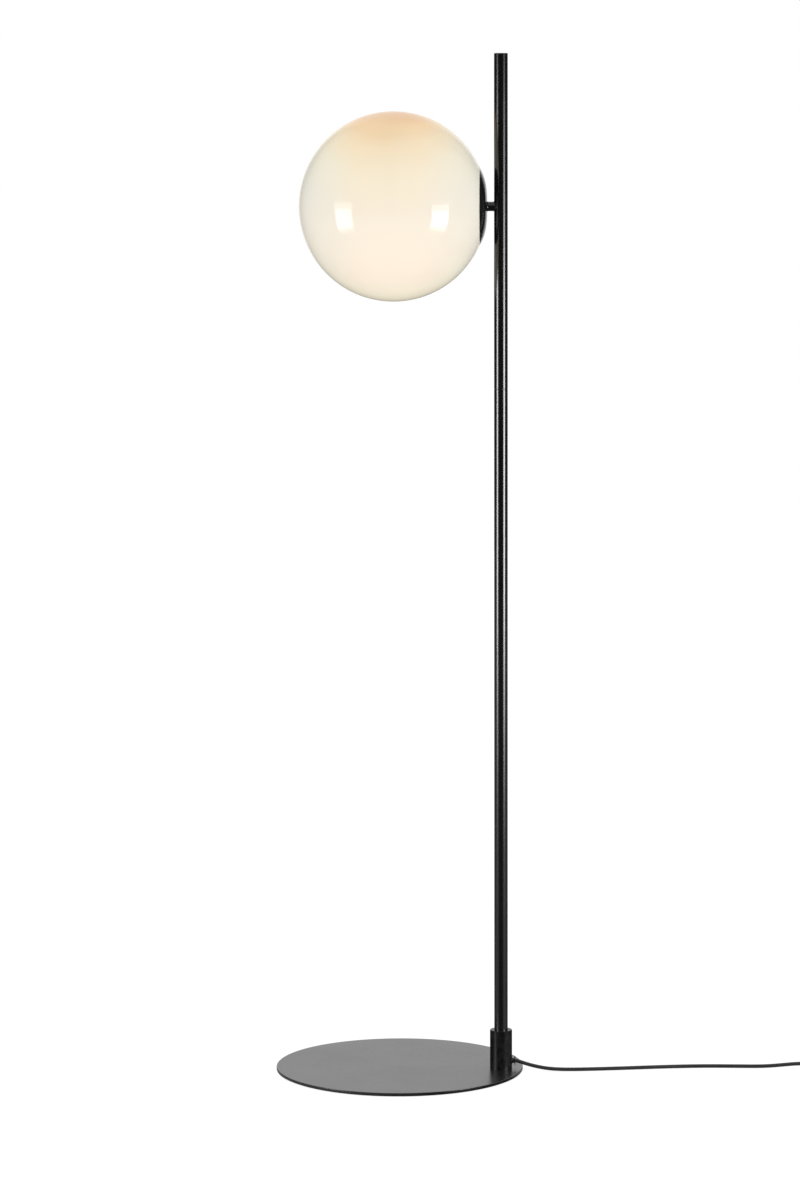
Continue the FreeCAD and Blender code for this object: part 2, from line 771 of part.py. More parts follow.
def holder_insert():
    """Insulating block inside the lampholder that carries its contacts."""
    long = HOLDER_JOINT_AT - INSERT_LOW_AT
    block = Part.makeCylinder(HOLDER_R - HOLDER_WALL - FIT, long, on_axis(INSERT_LOW_AT), ALONG_X)
    for side in (1, -1):
        block = block.cut(Part.makeCylinder(TERMINAL_R + FIT, long, terminal_spot(side), ALONG_X))
    return block


def thread_shell():
    """Brass screw shell, drawn with plain running clearance round the bulb's cap."""
    front_at = HOLDER_FACE_AT + SHELL_SET_BACK
    back_at = INSERT_LOW_AT
    outer_r = SHELL_BORE_R + SHELL_THICK
    return turned_on_arm([
        (front_at, SHELL_BORE_R),
        (front_at, outer_r),
        (back_at, outer_r),
        (back_at, SHELL_LIP_R),
        (back_at - SHELL_THICK, SHELL_LIP_R),
        (back_at - SHELL_THICK, SHELL_BORE_R),
    ])


def centre_contact():
    """Sprung brass tongue that meets the tip of the bulb's cap."""
    foot_at = INSERT_LOW_AT - TONGUE_THICK / 2
    tip_at = BULB_CONTACT_AT + TONGUE_GAP + TONGUE_THICK / 2
    line = [(foot_at, 6.5), (foot_at, 3.4), (tip_at, 0.6), (tip_at, -2.6)]
    face = closed_face(thick_strip(line, TONGUE_THICK),
                       lambda p: V(GLOBE_X + p[0], STEM_Y - TONGUE_WIDE / 2, ARM_Z + p[1]))
    return face.extrude(ALONG_Y * TONGUE_WIDE)


def terminal_screws():
    screws = []
    wide = 0.7
    deep = 0.8
    for side in (1, -1):
        spot = terminal_spot(side)
        shank = Part.makeCylinder(TERMINAL_R, TERMINAL_SHANK, spot, ALONG_X)
        under_head = spot + ALONG_X * TERMINAL_SHANK
        head = Part.makeCylinder(TERMINAL_HEAD_R, TERMINAL_HEAD_TALL, under_head, ALONG_X)
        end = spot + V(TERMINAL_SHANK + TERMINAL_HEAD_TALL - deep, -TERMINAL_HEAD_R, -wide / 2)
        slot = Part.makeBox(deep, 2 * TERMINAL_HEAD_R, wide, end)
        screws.append(shank.fuse(head).cut(slot))
    return screws


# ---------------------------------------------------------------- bulb


def bulb_cap():
    """Screw cap of the bulb, with rounded thread crests."""
    quarter = THREAD_PITCH / 4
    mean_r = BULB_CAP_R - THREAD_DEEP / 2
    path = [(BULB_NECK_AT, 0), (BULB_NECK_AT, BULB_CAP_R), (BULB_THREAD_AT, BULB_CAP_R)]
    for k in range(THREAD_TURNS):
        low = BULB_THREAD_AT + k * THREAD_PITCH
        path.append(((low + quarter, BULB_CAP_R - THREAD_DEEP), (low + 2 * quarter, mean_r)))
        path.append(((low + 3 * quarter, BULB_CAP_R), (low + THREAD_PITCH, mean_r)))
    path.append((BULB_CONTACT_AT - BULB_INSULATOR, 0))
    return turned_on_arm(path)


def bulb_contact():
    """Insulated tip of the cap, with its solder contact."""
    back_at = BULB_CONTACT_AT - BULB_INSULATOR
    return turned_on_arm([
        (back_at, 0),
        (back_at, BULB_CAP_R - THREAD_DEEP),
        (BULB_CONTACT_AT - 1.2, 5.2),
        (BULB_CONTACT_AT - 1.0, 4.6),
        ((BULB_CONTACT_AT - 0.2, 3.0), (BULB_CONTACT_AT, 1.2)),
        (BULB_CONTACT_AT, 0),
    ])


def bulb_body():
    """Flared plastic body of the bulb between its cap and its dome."""
    return turned_on_arm([
        (BULB_NECK_AT, 0),
        (BULB_NECK_AT, BULB_NECK_R - 0.8),
        (BULB_NECK_AT - 2.0, BULB_NECK_R),
        (BULB_FLARE_MID, (BULB_JOINT_AT, BULB_JOINT_R)),
        (BULB_JOINT_AT, 0),
    ])


def bulb_dome():
    """Frosted dome of the bulb, a thin shell."""
    centre_at = BULB_TIP_AT + BULB_R
    inner_r = BULB_R - BULB_WALL
    outer_k = BULB_R * math.sqrt(0.5)
    inner_k = inner_r * math.sqrt(0.5)
    waist_at, waist_r = BULB_WAIST
    return turned_on_arm([
        (BULB_TIP_AT, 0),
        ((centre_at - outer_k, outer_k), (centre_at, BULB_R)),
        (BULB_WAIST, (BULB_JOINT_AT, BULB_JOINT_R)),
        (BULB_JOINT_AT, BULB_JOINT_R - BULB_WALL),
        ((waist_at, waist_r - BULB_WALL), (centre_at, inner_r)),
        ((centre_at - inner_k, inner_k), (BULB_TIP_AT + BULB_WALL, 0)),
    ])


# ---------------------------------------------------------------- flex inside the lamp


def inner_flex():
    """The cord from the bushing, up the stem and out along the arm to the lampholder."""
    k = FLEX_BEND * CORNER_IN
    low = V(STEM_X, STEM_Y, CORD_EXIT_Z)
    high = V(STEM_X, STEM_Y, ARM_Z)
    start = V(BUSH_TIP_X, STEM_Y, CORD_EXIT_Z)
    edges = [
        Part.LineSegment(start, low + ALONG_X * FLEX_BEND).toShape(),
        Part.Arc(low + ALONG_X * FLEX_BEND, low + V(k, 0, k), low + UP * FLEX_BEND).toShape(),
        Part.LineSegment(low + UP * FLEX_BEND, high - UP * FLEX_BEND).toShape(),
        Part.Arc(high - UP * FLEX_BEND, high - V(k, 0, k), high - ALONG_X * FLEX_BEND).toShape(),
        Part.LineSegment(high - ALONG_X * FLEX_BEND, on_axis(FLEX_END_AT)).toShape(),
    ]
    return round_tube(Part.Wire(edges), CORD_R, "inner flex")


def flex_cores():
    """The two insulated cores from the end of the flex to the terminals."""
    cores = []
    screw_long = TERMINAL_SHANK + TERMINAL_HEAD_TALL
    head_at = INSERT_LOW_AT + TERMINAL_SEAT + screw_long + CORE_R + 2 * CORE_END_GAP
    for side in (1, -1):
        start = on_axis(FLEX_END_AT) + ALONG_Y * (CORE_APART * side)
        end = on_axis(head_at) + ALONG_Y * ((TERMINAL_REACH - CORE_APART) * side)
        points = [start, start - ALONG_X * 2, end]
        cores.append(round_tube(bent_path([tuple(p) for p in points]), CORE_R))
    return cores


# ---------------------------------------------------------------- foot switch


def switch_base():
    tray = rounded_plate(SWITCH_X, SWITCH_Y, SWITCH_LONG, SWITCH_WIDE, SWITCH_CORNER,
                         SWITCH_FOOT, SWITCH_SPLIT_Z - SWITCH_FOOT)
    inside = rounded_plate(SWITCH_X, SWITCH_Y, SWITCH_LONG - 2 * SWITCH_WALL, SWITCH_WIDE - 2 * SWITCH_WALL,
                           SWITCH_CORNER - SWITCH_WALL, SWITCH_FOOT + SWITCH_WALL, SWITCH_SPLIT_Z)
    tray = tray.cut(inside)
    posts = [screw_post(x, y) for x, y in switch_screw_spots()]
    tray = tray.fuse(posts)
    for x, y in switch_screw_spots():
        tray = tray.cut(switch_screw(x, y, FIT))
    return tray.cut(relief_channel())


def switch_screw_spots():
    spots = []
    for sx in (-1, 1):
        for sy in (-1, 1):
            spots.append((SWITCH_X + sx * POST_OUT[0], SWITCH_Y + sy * POST_OUT[1]))
    return spots


def screw_post(x, y):
    return Part.makeCylinder(POST_R, SWITCH_SPLIT_Z - SWITCH_FOOT, V(x, y, SWITCH_FOOT), UP)


def switch_screw(x, y, grow=0.0):
    low = SWITCH_FOOT + CASE_HEAD_SUNK
    head = Part.makeCylinder(CASE_HEAD_R + grow, CASE_HEAD_TALL + grow, V(x, y, low), UP)
    shank = Part.makeCylinder(CASE_SCREW_R + grow, CASE_SCREW_LONG + grow, V(x, y, low), UP)
    body = head.fuse(shank)
    if grow:
        body = body.fuse(Part.makeCylinder(CASE_HEAD_R + grow, low, V(x, y, 0), UP))
    return body


def switch_screws():
    screws = []
    low = SWITCH_FOOT + CASE_HEAD_SUNK
    long = CROSS_LONG / 2
    wide = CROSS_WIDE / 2
    for x, y in switch_screw_spots():
        cross = Part.makeBox(CROSS_LONG, CROSS_WIDE, CROSS_DEEP, V(x - long, y - wide, low))
        cross = cross.fuse(Part.makeBox(CROSS_WIDE, CROSS_LONG, CROSS_DEEP, V(x - wide, y - long, low)))
        screws.append(switch_screw(x, y).cut(cross))
    return screws


def relief_channel():
    """Round channel through both end walls for the cord's moulded reliefs."""
    spare = 10.0
    return Part.makeCylinder(RELIEF_THICK_R + FIT, SWITCH_LONG + 2 * spare,
                             V(SWITCH_LEFT - spare, SWITCH_Y, SWITCH_CORD_Z), ALONG_X)


def switch_cover():
    low = SWITCH_SPLIT_Z
    shell = rounded_plate(SWITCH_X, SWITCH_Y, SWITCH_LONG, SWITCH_WIDE, SWITCH_CORNER,
                          low, SWITCH_TOP_Z - low)
    shell = round_top(shell, SWITCH_TOP_Z, SWITCH_TOP_ROUND)
    inside = rounded_plate(SWITCH_X, SWITCH_Y, SWITCH_LONG - 2 * SWITCH_WALL, SWITCH_WIDE - 2 * SWITCH_WALL,
                           SWITCH_CORNER - SWITCH_WALL, low, SWITCH_TOP_Z - SWITCH_WALL - low)
    inside = round_top(inside, SWITCH_TOP_Z - SWITCH_WALL, SWITCH_TOP_ROUND - 0.75 * SWITCH_WALL)
    shell = shell.cut(inside)
    for x, y in switch_screw_spots():
        post = Part.makeCylinder(POST_UPPER_R, SWITCH_TOP_Z - low - 0.75 * SWITCH_WALL, V(x, y, low), UP)
        shell = shell.fuse(post)
    for x, y in switch_screw_spots():
        shell = shell.cut(switch_screw(x, y, FIT))
    hole = Part.makeCylinder(BUTTON_R + BUTTON_GAP, SWITCH_TOP_Z, V(SWITCH_X, SWITCH_Y, low), UP)
    return shell.cut(hole).cut(relief_channel())


def round_top(body, top, radius):
    """Rounds the upper rim of an upright prism."""
    rim = []
    for edge in body.Edges:
        box = edge.BoundBox
        if box.ZMin > top - 0.01:
            rim.append(edge)
    return body.makeFillet(radius, rim)


def switch_button():
    """Round foot button, dished a little, with a collar that keeps it in."""
    collar_high = SWITCH_TOP_Z - SWITCH_WALL - 0.2
    collar_low = collar_high - BUTTON_COLLAR_THICK
    bottom = collar_low - BUTTON_SKIRT
    inner_r, outer_r = BUTTON_SKIRT_R
    k = CORNER_IN * BUTTON_EDGE
    return turned_upright([
        (0, collar_low),
        (inner_r, collar_low),
        (inner_r, bottom),
        (outer_r, bottom),
        (outer_r, collar_low),
        (BUTTON_R + BUTTON_COLLAR, collar_low),
        (BUTTON_R + BUTTON_COLLAR, collar_high),
        (BUTTON_R, collar_high),
        (BUTTON_R, BUTTON_TOP_Z - BUTTON_EDGE),
        ((BUTTON_R - k, BUTTON_TOP_Z - k), (BUTTON_R - BUTTON_EDGE, BUTTON_TOP_Z)),
        ((BUTTON_R / 2, BUTTON_TOP_Z - 0.72 * BUTTON_DISH), (1.0, BUTTON_TOP_Z - BUTTON_DISH)),
        (0, BUTTON_TOP_Z - BUTTON_DISH),
    ], SWITCH_X, SWITCH_Y)


def switch_block():
    """Contact block in the middle of the tray, with a guide for the spring."""
    low = SWITCH_FOOT + SWITCH_WALL
    corner = V(SWITCH_X - BLOCK_LONG / 2, SWITCH_Y - BLOCK_WIDE / 2, low)
    block = Part.makeBox(BLOCK_LONG, BLOCK_WIDE, BLOCK_TOP_Z - low, corner)
    guide = Part.makeCylinder(GUIDE_R, GUIDE_TALL, V(SWITCH_X, SWITCH_Y, BLOCK_TOP_Z), UP)
    return block.fuse(guide)


def switch_spring():
    """Open compression spring between the contact block and the button."""
    r = COIL_SPRING_R
    seat_gap = COIL_SPRING_WIRE_R + COIL_SPRING_GAP
    low = BLOCK_TOP_Z + seat_gap
    high = SWITCH_TOP_Z - SWITCH_WALL - 0.2 - BUTTON_COLLAR_THICK - seat_gap
    quarters = 4 * COIL_SPRING_TURNS
    rise = (high - low) / quarters
    spots = []
    headings = []
    for k in range(quarters + 1):
        turn = math.pi / 2 * k
        spots.append(V(SWITCH_X + r * math.cos(turn), SWITCH_Y + r * math.sin(turn), low + rise * k))
        headings.append(V(-r * math.sin(turn), r * math.cos(turn), rise * 2 / math.pi).normalize())
    edges = []
    for k in range(quarters):
        edges += biarc(spots[k], headings[k], spots[k + 1], headings[k + 1])
    path = Part.Wire(edges)
    print("switch spring least gap %.2f" % least_gap(path, COIL_SPRING_WIRE_R, 6.0))
    return round_tube(path, COIL_SPRING_WIRE_R, "switch spring")


def switch_feet():
    feet = []
    for sx in (-1, 1):
        for sy in (-1, 1):
            spot = V(SWITCH_X + sx * FOOT_OUT[0], SWITCH_Y + sy * FOOT_OUT[1], 0)
            feet.append(Part.makeCylinder(FOOT_R, SWITCH_FOOT, spot, UP))
    return feet


def switch_reliefs():
    """Tapered moulded reliefs where the cord enters and leaves the foot switch."""
    reliefs = []
    for side, wall_x in ((-1, SWITCH_LEFT), (1, SWITCH_RIGHT)):
        out = ALONG_X * side
        foot = V(wall_x, SWITCH_Y, SWITCH_CORD_Z)
        cone = Part.makeCone(RELIEF_THICK_R, RELIEF_THIN_R, RELIEF_LONG, foot, out)
        body = Part.makeCylinder(RELIEF_THICK_R, RELIEF_INSIDE, foot - out * RELIEF_INSIDE, out)
        for k in range(RELIEF_GROOVES):
            floor_r = RELIEF_THIN_R - 0.2 + 0.25 * (RELIEF_GROOVES - 1 - k)
            place = foot + out * (3.6 + 4.4 * k)
            cone = cone.cut(ring(RELIEF_THICK_R + 1, floor_r, 1.2, place, out))
        reliefs.append(cone.fuse(body))
    return reliefs


# ---------------------------------------------------------------- free cord, coil and tie


def cord_stretch(points, name):
    return round_tube(bent_path(points, name), CORD_R, name)


def coil_place(turn):
    """A place on the coil's middle line; turn counts turns from where the cord comes in.

    The lower layer winds inwards and the upper one outwards, both clockwise from above,
    and the line climbs in the half turn where the spiral reverses."""
    r = COIL_INNER_R + COIL_PITCH * abs(COIL_LOW_TURNS - turn)
    climb = min(max((turn - COIL_LOW_TURNS + 0.25) / 0.5, 0.0), 1.0)
    turned = -math.pi / 2 - 2 * math.pi * turn
    return V(COIL_X + r * math.cos(turned), COIL_Y + r * math.sin(turned), COIL_LOW_Z + COIL_LAYER * climb)


def coil_line():
    """The coil's middle line: a smooth pair of arcs for each quarter turn, and straight ends."""
    quarters = round(4 * (COIL_LOW_TURNS + COIL_HIGH_TURNS))
    spots = [coil_place(k / 4) for k in range(quarters + 1)]
    headings = [ALONG_X * -1]
    for k in range(1, quarters):
        heading = spots[k + 1] - spots[k - 1]
        if spots[k].z in (COIL_LOW_Z, COIL_HIGH_Z):
            heading.z = 0
        headings.append(heading.normalize())
    headings.append(V(ALONG_X))
    edges = [Part.LineSegment(spots[0] + ALONG_X * COIL_END, spots[0]).toShape()]
    for k in range(quarters):
        edges += biarc(spots[k], headings[k], spots[k + 1], headings[k + 1])
    edges.append(Part.LineSegment(spots[-1], spots[-1] + ALONG_X * COIL_END).toShape())
    return Part.Wire(edges)


def cord_coil():
    path = coil_line()
    print("cord coil least gap %.2f" % least_gap(path, CORD_R, 40.0))
    return round_tube(path, CORD_R, "cord coil")


def cord_tie():
    """Flat tie round all the turns, on the side of the coil away from the plug."""
    near = COIL_INNER_R - CORD_R - TIE_INSET
    far = COIL_END_R + CORD_R + TIE_GAP
    low = COIL_LOW_Z - CORD_R - TIE_GAP
    high = COIL_HIGH_Z + CORD_R + TIE_GAP

    def loop(grow):
        """A rounded rectangle in the plane across the turns."""
        corner = TIE_CORNER + grow
        k = corner * CORNER_IN
        x0, x1 = -far - grow, -near + grow
        z0, z1 = low - grow, high + grow
        path = [
            (x0 + corner, z0),
            (x1 - corner, z0),
            ((x1 - k, z0 + k), (x1, z0 + corner)),
            (x1, z1 - corner),
            ((x1 - k, z1 - k), (x1 - corner, z1)),
            (x0 + corner, z1),
            ((x0 + k, z1 - k), (x0, z1 - corner)),
            (x0, z0 + corner),
            ((x0 + k, z0 + k), (x0 + corner, z0)),
        ]
        return closed_face(path, lambda p: V(COIL_X + p[0], COIL_Y - TIE_WIDE / 2, p[1]))

    return loop(TIE_THICK).cut(loop(0)).extrude(ALONG_Y * TIE_WIDE)


# ---------------------------------------------------------------- plug


def plug_section(along, wide, thick, corner):
    """A rounded rectangle across the plug."""
    dy = wide / 2
    dz = thick / 2
    k = corner * CORNER_IN
    path = [
        (-dy + corner, -dz),
        (dy - corner, -dz),
        ((dy - k, -dz + k), (dy, -dz + corner)),
        (dy, dz - corner),
        ((dy - k, dz - k), (dy - corner, dz)),
        (-dy + corner, dz),
        ((-dy + k, dz - k), (-dy, dz - corner)),
        (-dy, -dz + corner),
        ((-dy + k, -dz + k), (-dy + corner, -dz)),
    ]
    face = closed_face(path, lambda p: V(PLUG_X + along, PLUG_Y + p[0], PLUG_Z + p[1]))
    return face.OuterWire


def plug_body():
    """Flat two-pin plug, widening from its cord end to its face."""
    back = PLUG_RELIEF_LONG
    wires = [
        plug_section(back, PLUG_BACK_WIDE, PLUG_BACK_THICK, 4.5),
        plug_section(back + 0.35 * PLUG_LONG, PLUG_BACK_WIDE + 5, PLUG_BACK_THICK + 1, 4.8),
        plug_section(back + 0.62 * PLUG_LONG, PLUG_WIDE, PLUG_THICK, 5.0),
        plug_section(back + PLUG_LONG, PLUG_WIDE, PLUG_THICK, 5.0),
    ]
    return Part.makeLoft(wires, True, True)


def plug_relief():
    """Tapered moulded relief behind the plug, with grooves that let it bend."""
    tip = V(PLUG_X, PLUG_Y, PLUG_Z)
    cone = Part.makeCone(RELIEF_THIN_R, PLUG_RELIEF_R, PLUG_RELIEF_LONG, tip, ALONG_X)
    for k in range(RELIEF_GROOVES):
        place = tip + ALONG_X * (4.6 + 5.0 * k)
        cone = cone.cut(ring(PLUG_RELIEF_R + 1, RELIEF_THIN_R - 0.1 + 0.4 * k, 1.3, place, ALONG_X))
    return cone


def plug_pins():
    pins = []
    shank_long = PIN_LONG - PIN_NOSE
    foot_x = PLUG_X + PLUG_RELIEF_LONG + PLUG_LONG
    for side in (1, -1):
        foot = V(foot_x, PLUG_Y + side * PIN_SPACING / 2, PLUG_Z)
        shank = Part.makeCylinder(PIN_R, shank_long, foot, ALONG_X)
        nose = Part.makeCone(PIN_R, PIN_R - PIN_NOSE_IN, PIN_NOSE, foot + ALONG_X * shank_long, ALONG_X)
        pins.append(shank.fuse(nose))
    return pins


# ---------------------------------------------------------------- nodes

NODES = {
    "base_plate": base_plate,
    "base_pad": base_pad,
    "base_socket": base_socket,
    "socket_screws": socket_screws,
    "grub_screws": grub_screws,
    "cord_bushing": cord_bushing,
    "lower_tube": lower_tube,
    "lower_tube_bush": lambda: tube_bush(STEM_SEAM_Z - JOIN_GAP - JOIN_BUSH_TALL),
    "tube_nipple": tube_nipple,
    "upper_tube_bush": lambda: tube_bush(STEM_SEAM_Z + JOIN_GAP),
    "upper_tube": upper_tube,
    "top_cap": top_cap,
    "arm_sleeve": arm_sleeve,
    "arm_nipple": arm_nipple,
    "globe_cup": globe_cup,
    "globe_gasket": globe_gasket,
    "globe_spring": globe_spring,
    "cup_washer": cup_washer,
    "cup_nut": cup_nut,
    "glass_globe": glass_globe,
    "holder_cap": holder_cap,
    "holder_body": holder_body,
    "holder_insert": holder_insert,
    "thread_shell": thread_shell,
    "centre_contact": centre_contact,
    "terminal_screws": terminal_screws,
    "bulb_cap": bulb_cap,
    "bulb_contact": bulb_contact,
    "bulb_body": bulb_body,
    "bulb_dome": bulb_dome,
    "inner_flex": inner_flex,
    "flex_cores": flex_cores,
    "cord_to_switch": lambda: cord_stretch(CORD_TO_SWITCH, "cord to switch"),
    "switch_base": switch_base,
    "switch_cover": switch_cover,
    "switch_button": switch_button,
    "switch_spring": switch_spring,
    "switch_block": switch_block,
    "switch_screws": switch_screws,
    "switch_feet": switch_feet,
    "switch_reliefs": switch_reliefs,
    "cord_to_coil": lambda: cord_stretch(CORD_TO_COIL, "cord to coil"),
    "cord_coil": cord_coil,
    "cord_tie": cord_tie,
    "cord_to_plug": lambda: cord_stretch(CORD_TO_PLUG, "cord to plug"),
    "plug_relief": plug_relief,
    "plug_body": plug_body,
    "plug_pins": plug_pins,
}


def main():
    os.makedirs("parts", exist_ok=True)
    for name, make in NODES.items():
        made = make()
        shape = Part.makeCompound(made) if isinstance(made, list) else made
        shape.exportStep("parts/" + name + ".step")
        print(name, "solids", len(shape.Solids), "valid", shape.isValid())


main()
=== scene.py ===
"""Looks of the globe floor lamp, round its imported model. Metres; +Z up, +X from globe to stem."""

import json
import math

import bmesh
import bpy
from mathutils import Matrix, Vector


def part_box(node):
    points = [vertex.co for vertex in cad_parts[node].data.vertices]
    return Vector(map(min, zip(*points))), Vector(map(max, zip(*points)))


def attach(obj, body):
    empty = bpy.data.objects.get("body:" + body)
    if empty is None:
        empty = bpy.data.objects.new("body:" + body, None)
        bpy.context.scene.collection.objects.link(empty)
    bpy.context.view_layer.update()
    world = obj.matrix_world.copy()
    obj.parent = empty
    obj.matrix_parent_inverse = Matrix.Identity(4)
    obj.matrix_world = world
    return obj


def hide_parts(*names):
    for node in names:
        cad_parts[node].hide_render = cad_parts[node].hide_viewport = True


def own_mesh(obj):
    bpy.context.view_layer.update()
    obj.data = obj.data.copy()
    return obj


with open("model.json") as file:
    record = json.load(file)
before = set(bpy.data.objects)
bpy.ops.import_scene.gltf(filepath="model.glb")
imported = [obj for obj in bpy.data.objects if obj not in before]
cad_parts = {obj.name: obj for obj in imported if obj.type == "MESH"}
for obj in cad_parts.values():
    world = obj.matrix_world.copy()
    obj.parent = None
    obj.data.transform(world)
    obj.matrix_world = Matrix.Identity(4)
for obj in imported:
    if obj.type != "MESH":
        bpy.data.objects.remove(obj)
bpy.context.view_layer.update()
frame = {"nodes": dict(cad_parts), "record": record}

# ---------------------------------------------------------------- sizes, from the frame


def middle(node):
    low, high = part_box(node)
    return (low + high) / 2


def half_width(node):
    low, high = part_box(node)
    return (high.y - low.y) / 2


GLOBE_LOW, GLOBE_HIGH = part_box("glass_globe")
GLOBE_R = half_width("glass_globe")
GLOBE_AT = Vector((GLOBE_LOW.x + GLOBE_R, middle("glass_globe").y, middle("glass_globe").z))
MOUTH = GLOBE_HIGH.x - GLOBE_AT.x
GLASS = 0.003

CUP_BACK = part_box("globe_cup")[1].x - GLOBE_AT.x
NIPPLE_R = half_width("arm_nipple")

STEM_AT = middle("lower_tube")
STEM_R = half_width("lower_tube")
STEM_WALL = 0.0012
LOWER_Z = (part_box("lower_tube")[0].z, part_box("lower_tube")[1].z)
UPPER_Z = (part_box("upper_tube")[0].z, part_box("upper_tube")[1].z)
TOP_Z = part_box("top_cap")[1].z
SLEEVE_R = 0.00615

DISC_R = half_width("base_plate")
DISC_Z = (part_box("base_plate")[0].z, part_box("base_plate")[1].z)

CORD_R = 0.0025
CORD_EXIT_Z = middle("cord_bushing").z

# ---------------------------------------------------------------- node helpers


def add_node(tree, kind, **values):
    """A node with its inputs set by name; a socket as a value is linked instead."""
    made = tree.nodes.new(kind)
    for label, value in values.items():
        socket = made.inputs[label.replace("_", " ")]
        if isinstance(value, bpy.types.NodeSocket):
            tree.links.new(value, socket)
        else:
            socket.default_value = value
    return made


def maths(tree, what, first, second=0.5):
    made = tree.nodes.new("ShaderNodeMath")
    made.operation = what
    for socket, value in zip(made.inputs, (first, second)):
        if isinstance(value, bpy.types.NodeSocket):
            tree.links.new(value, socket)
        else:
            socket.default_value = value
    return made.outputs[0]


def remap(tree, value, low, high, to_low, to_high, kind="LINEAR"):
    made = tree.nodes.new("ShaderNodeMapRange")
    made.interpolation_type = kind
    for label, number in (
        ("From Min", low),
        ("From Max", high),
        ("To Min", to_low),
        ("To Max", to_high),
    ):
        made.inputs[label].default_value = number
    tree.links.new(value, made.inputs["Value"])
    return made.outputs["Result"]


NOISE_LOW, NOISE_HIGH = 0.3, 0.7


def spread(tree, noise, low, high):
    """A noise's usual range, laid between two values."""
    return remap(tree, noise, NOISE_LOW, NOISE_HIGH, low, high)


def blended(tree, mask, first, second):
    """A colour between two, by a mask."""
    made = tree.nodes.new("ShaderNodeMix")
    made.data_type = "RGBA"
    for socket, value in zip((made.inputs[0], made.inputs[6], made.inputs[7]), (mask, first, second)):
        if isinstance(value, bpy.types.NodeSocket):
            tree.links.new(value, socket)
        else:
            socket.default_value = value
    return made.outputs[2]


def new_group(name, inputs, outputs):
    tree = bpy.data.node_groups.new(name, "ShaderNodeTree")
    for label, kind, value in inputs:
        socket = tree.interface.new_socket(label, in_out="INPUT", socket_type=kind)
        socket.default_value = value
    for label, kind in outputs:
        tree.interface.new_socket(label, in_out="OUTPUT", socket_type=kind)
    return tree, tree.nodes.new("NodeGroupInput"), tree.nodes.new("NodeGroupOutput")


def place_group(tree, group, **values):
    made = tree.nodes.new("ShaderNodeGroup")
    made.node_tree = group
    for label, value in values.items():
        made.inputs[label.replace("_", " ")].default_value = value
    return made


FLOAT = "NodeSocketFloat"
VECTOR = "NodeSocketVector"


def grain_group():
    """Fine relief of a surface, and slow clouds across it."""
    tree, given, out = new_group(
        "Surface grain",
        [("Grain size", FLOAT, 0.0005), ("Stretch", VECTOR, (1, 1, 1)), ("Cloud size", FLOAT, 0.05)],
        [("Height", FLOAT), ("Clouds", FLOAT)],
    )
    place = tree.nodes.new("ShaderNodeTexCoord").outputs["Object"]
    pulled = add_node(tree, "ShaderNodeVectorMath")
    pulled.operation = "MULTIPLY"
    tree.links.new(place, pulled.inputs[0])
    tree.links.new(given.outputs["Stretch"], pulled.inputs[1])
    fine = add_node(tree, "ShaderNodeTexNoise", Detail=2.0, Roughness=0.55)
    tree.links.new(pulled.outputs[0], fine.inputs["Vector"])
    tree.links.new(maths(tree, "DIVIDE", 1.0, given.outputs["Grain size"]), fine.inputs["Scale"])
    slow = add_node(tree, "ShaderNodeTexNoise", Detail=3.0, Roughness=0.5)
    tree.links.new(place, slow.inputs["Vector"])
    tree.links.new(maths(tree, "DIVIDE", 1.0, given.outputs["Cloud size"]), slow.inputs["Scale"])
    tree.links.new(fine.outputs["Fac"], out.inputs["Height"])
    tree.links.new(slow.outputs["Fac"], out.inputs["Clouds"])
    return tree


def dust_group():
    """Where a little dust has settled: on faces that look up, in flecks."""
    tree, given, out = new_group(
        "Settled dust",
        [("Amount", FLOAT, 0.3), ("Fleck size", FLOAT, 0.002)],
        [("Mask", FLOAT)],
    )
    place = tree.nodes.new("ShaderNodeTexCoord").outputs["Object"]
    facing = tree.nodes.new("ShaderNodeSeparateXYZ")
    tree.links.new(tree.nodes.new("ShaderNodeNewGeometry").outputs["Normal"], facing.inputs[0])
    level = remap(tree, facing.outputs["Z"], 0.55, 0.95, 0.0, 1.0, "SMOOTHSTEP")
    flecks = add_node(tree, "ShaderNodeTexNoise", Vector=place, Detail=4.0, Roughness=0.7)
    tree.links.new(maths(tree, "DIVIDE", 1.0, given.outputs["Fleck size"]), flecks.inputs["Scale"])
    spots = remap(tree, flecks.outputs["Fac"], 0.5, 0.75, 0.0, 1.0, "SMOOTHSTEP")
    mask = maths(tree, "MULTIPLY", maths(tree, "MULTIPLY", level, spots), given.outputs["Amount"])
    tree.links.new(mask, out.inputs["Mask"])
    return tree


def edge_group():
    """Where hands and packing have rubbed the edges."""
    tree, given, out = new_group("Rubbed edges", [("Amount", FLOAT, 0.3)], [("Mask", FLOAT)])
    place = tree.nodes.new("ShaderNodeTexCoord").outputs["Object"]
    sharp = tree.nodes.new("ShaderNodeNewGeometry").outputs["Pointiness"]
    edge = remap(tree, sharp, 0.52, 0.62, 0.0, 1.0, "SMOOTHSTEP")
    patches = add_node(tree, "ShaderNodeTexNoise", Vector=place, Scale=140.0, Detail=3.0)
    worn = remap(tree, patches.outputs["Fac"], 0.35, 0.65, 0.0, 1.0, "SMOOTHSTEP")
    mask = maths(tree, "MULTIPLY", maths(tree, "MULTIPLY", edge, worn), given.outputs["Amount"])
    tree.links.new(mask, out.inputs["Mask"])
    return tree


GRAIN = grain_group()
DUST = dust_group()
EDGES = edge_group()

# ---------------------------------------------------------------- materials


def new_material(name):
    material = bpy.data.materials.new(name)
    material.use_nodes = True
    tree = material.node_tree
    shader = tree.nodes["Principled BSDF"]
    return material, tree, shader


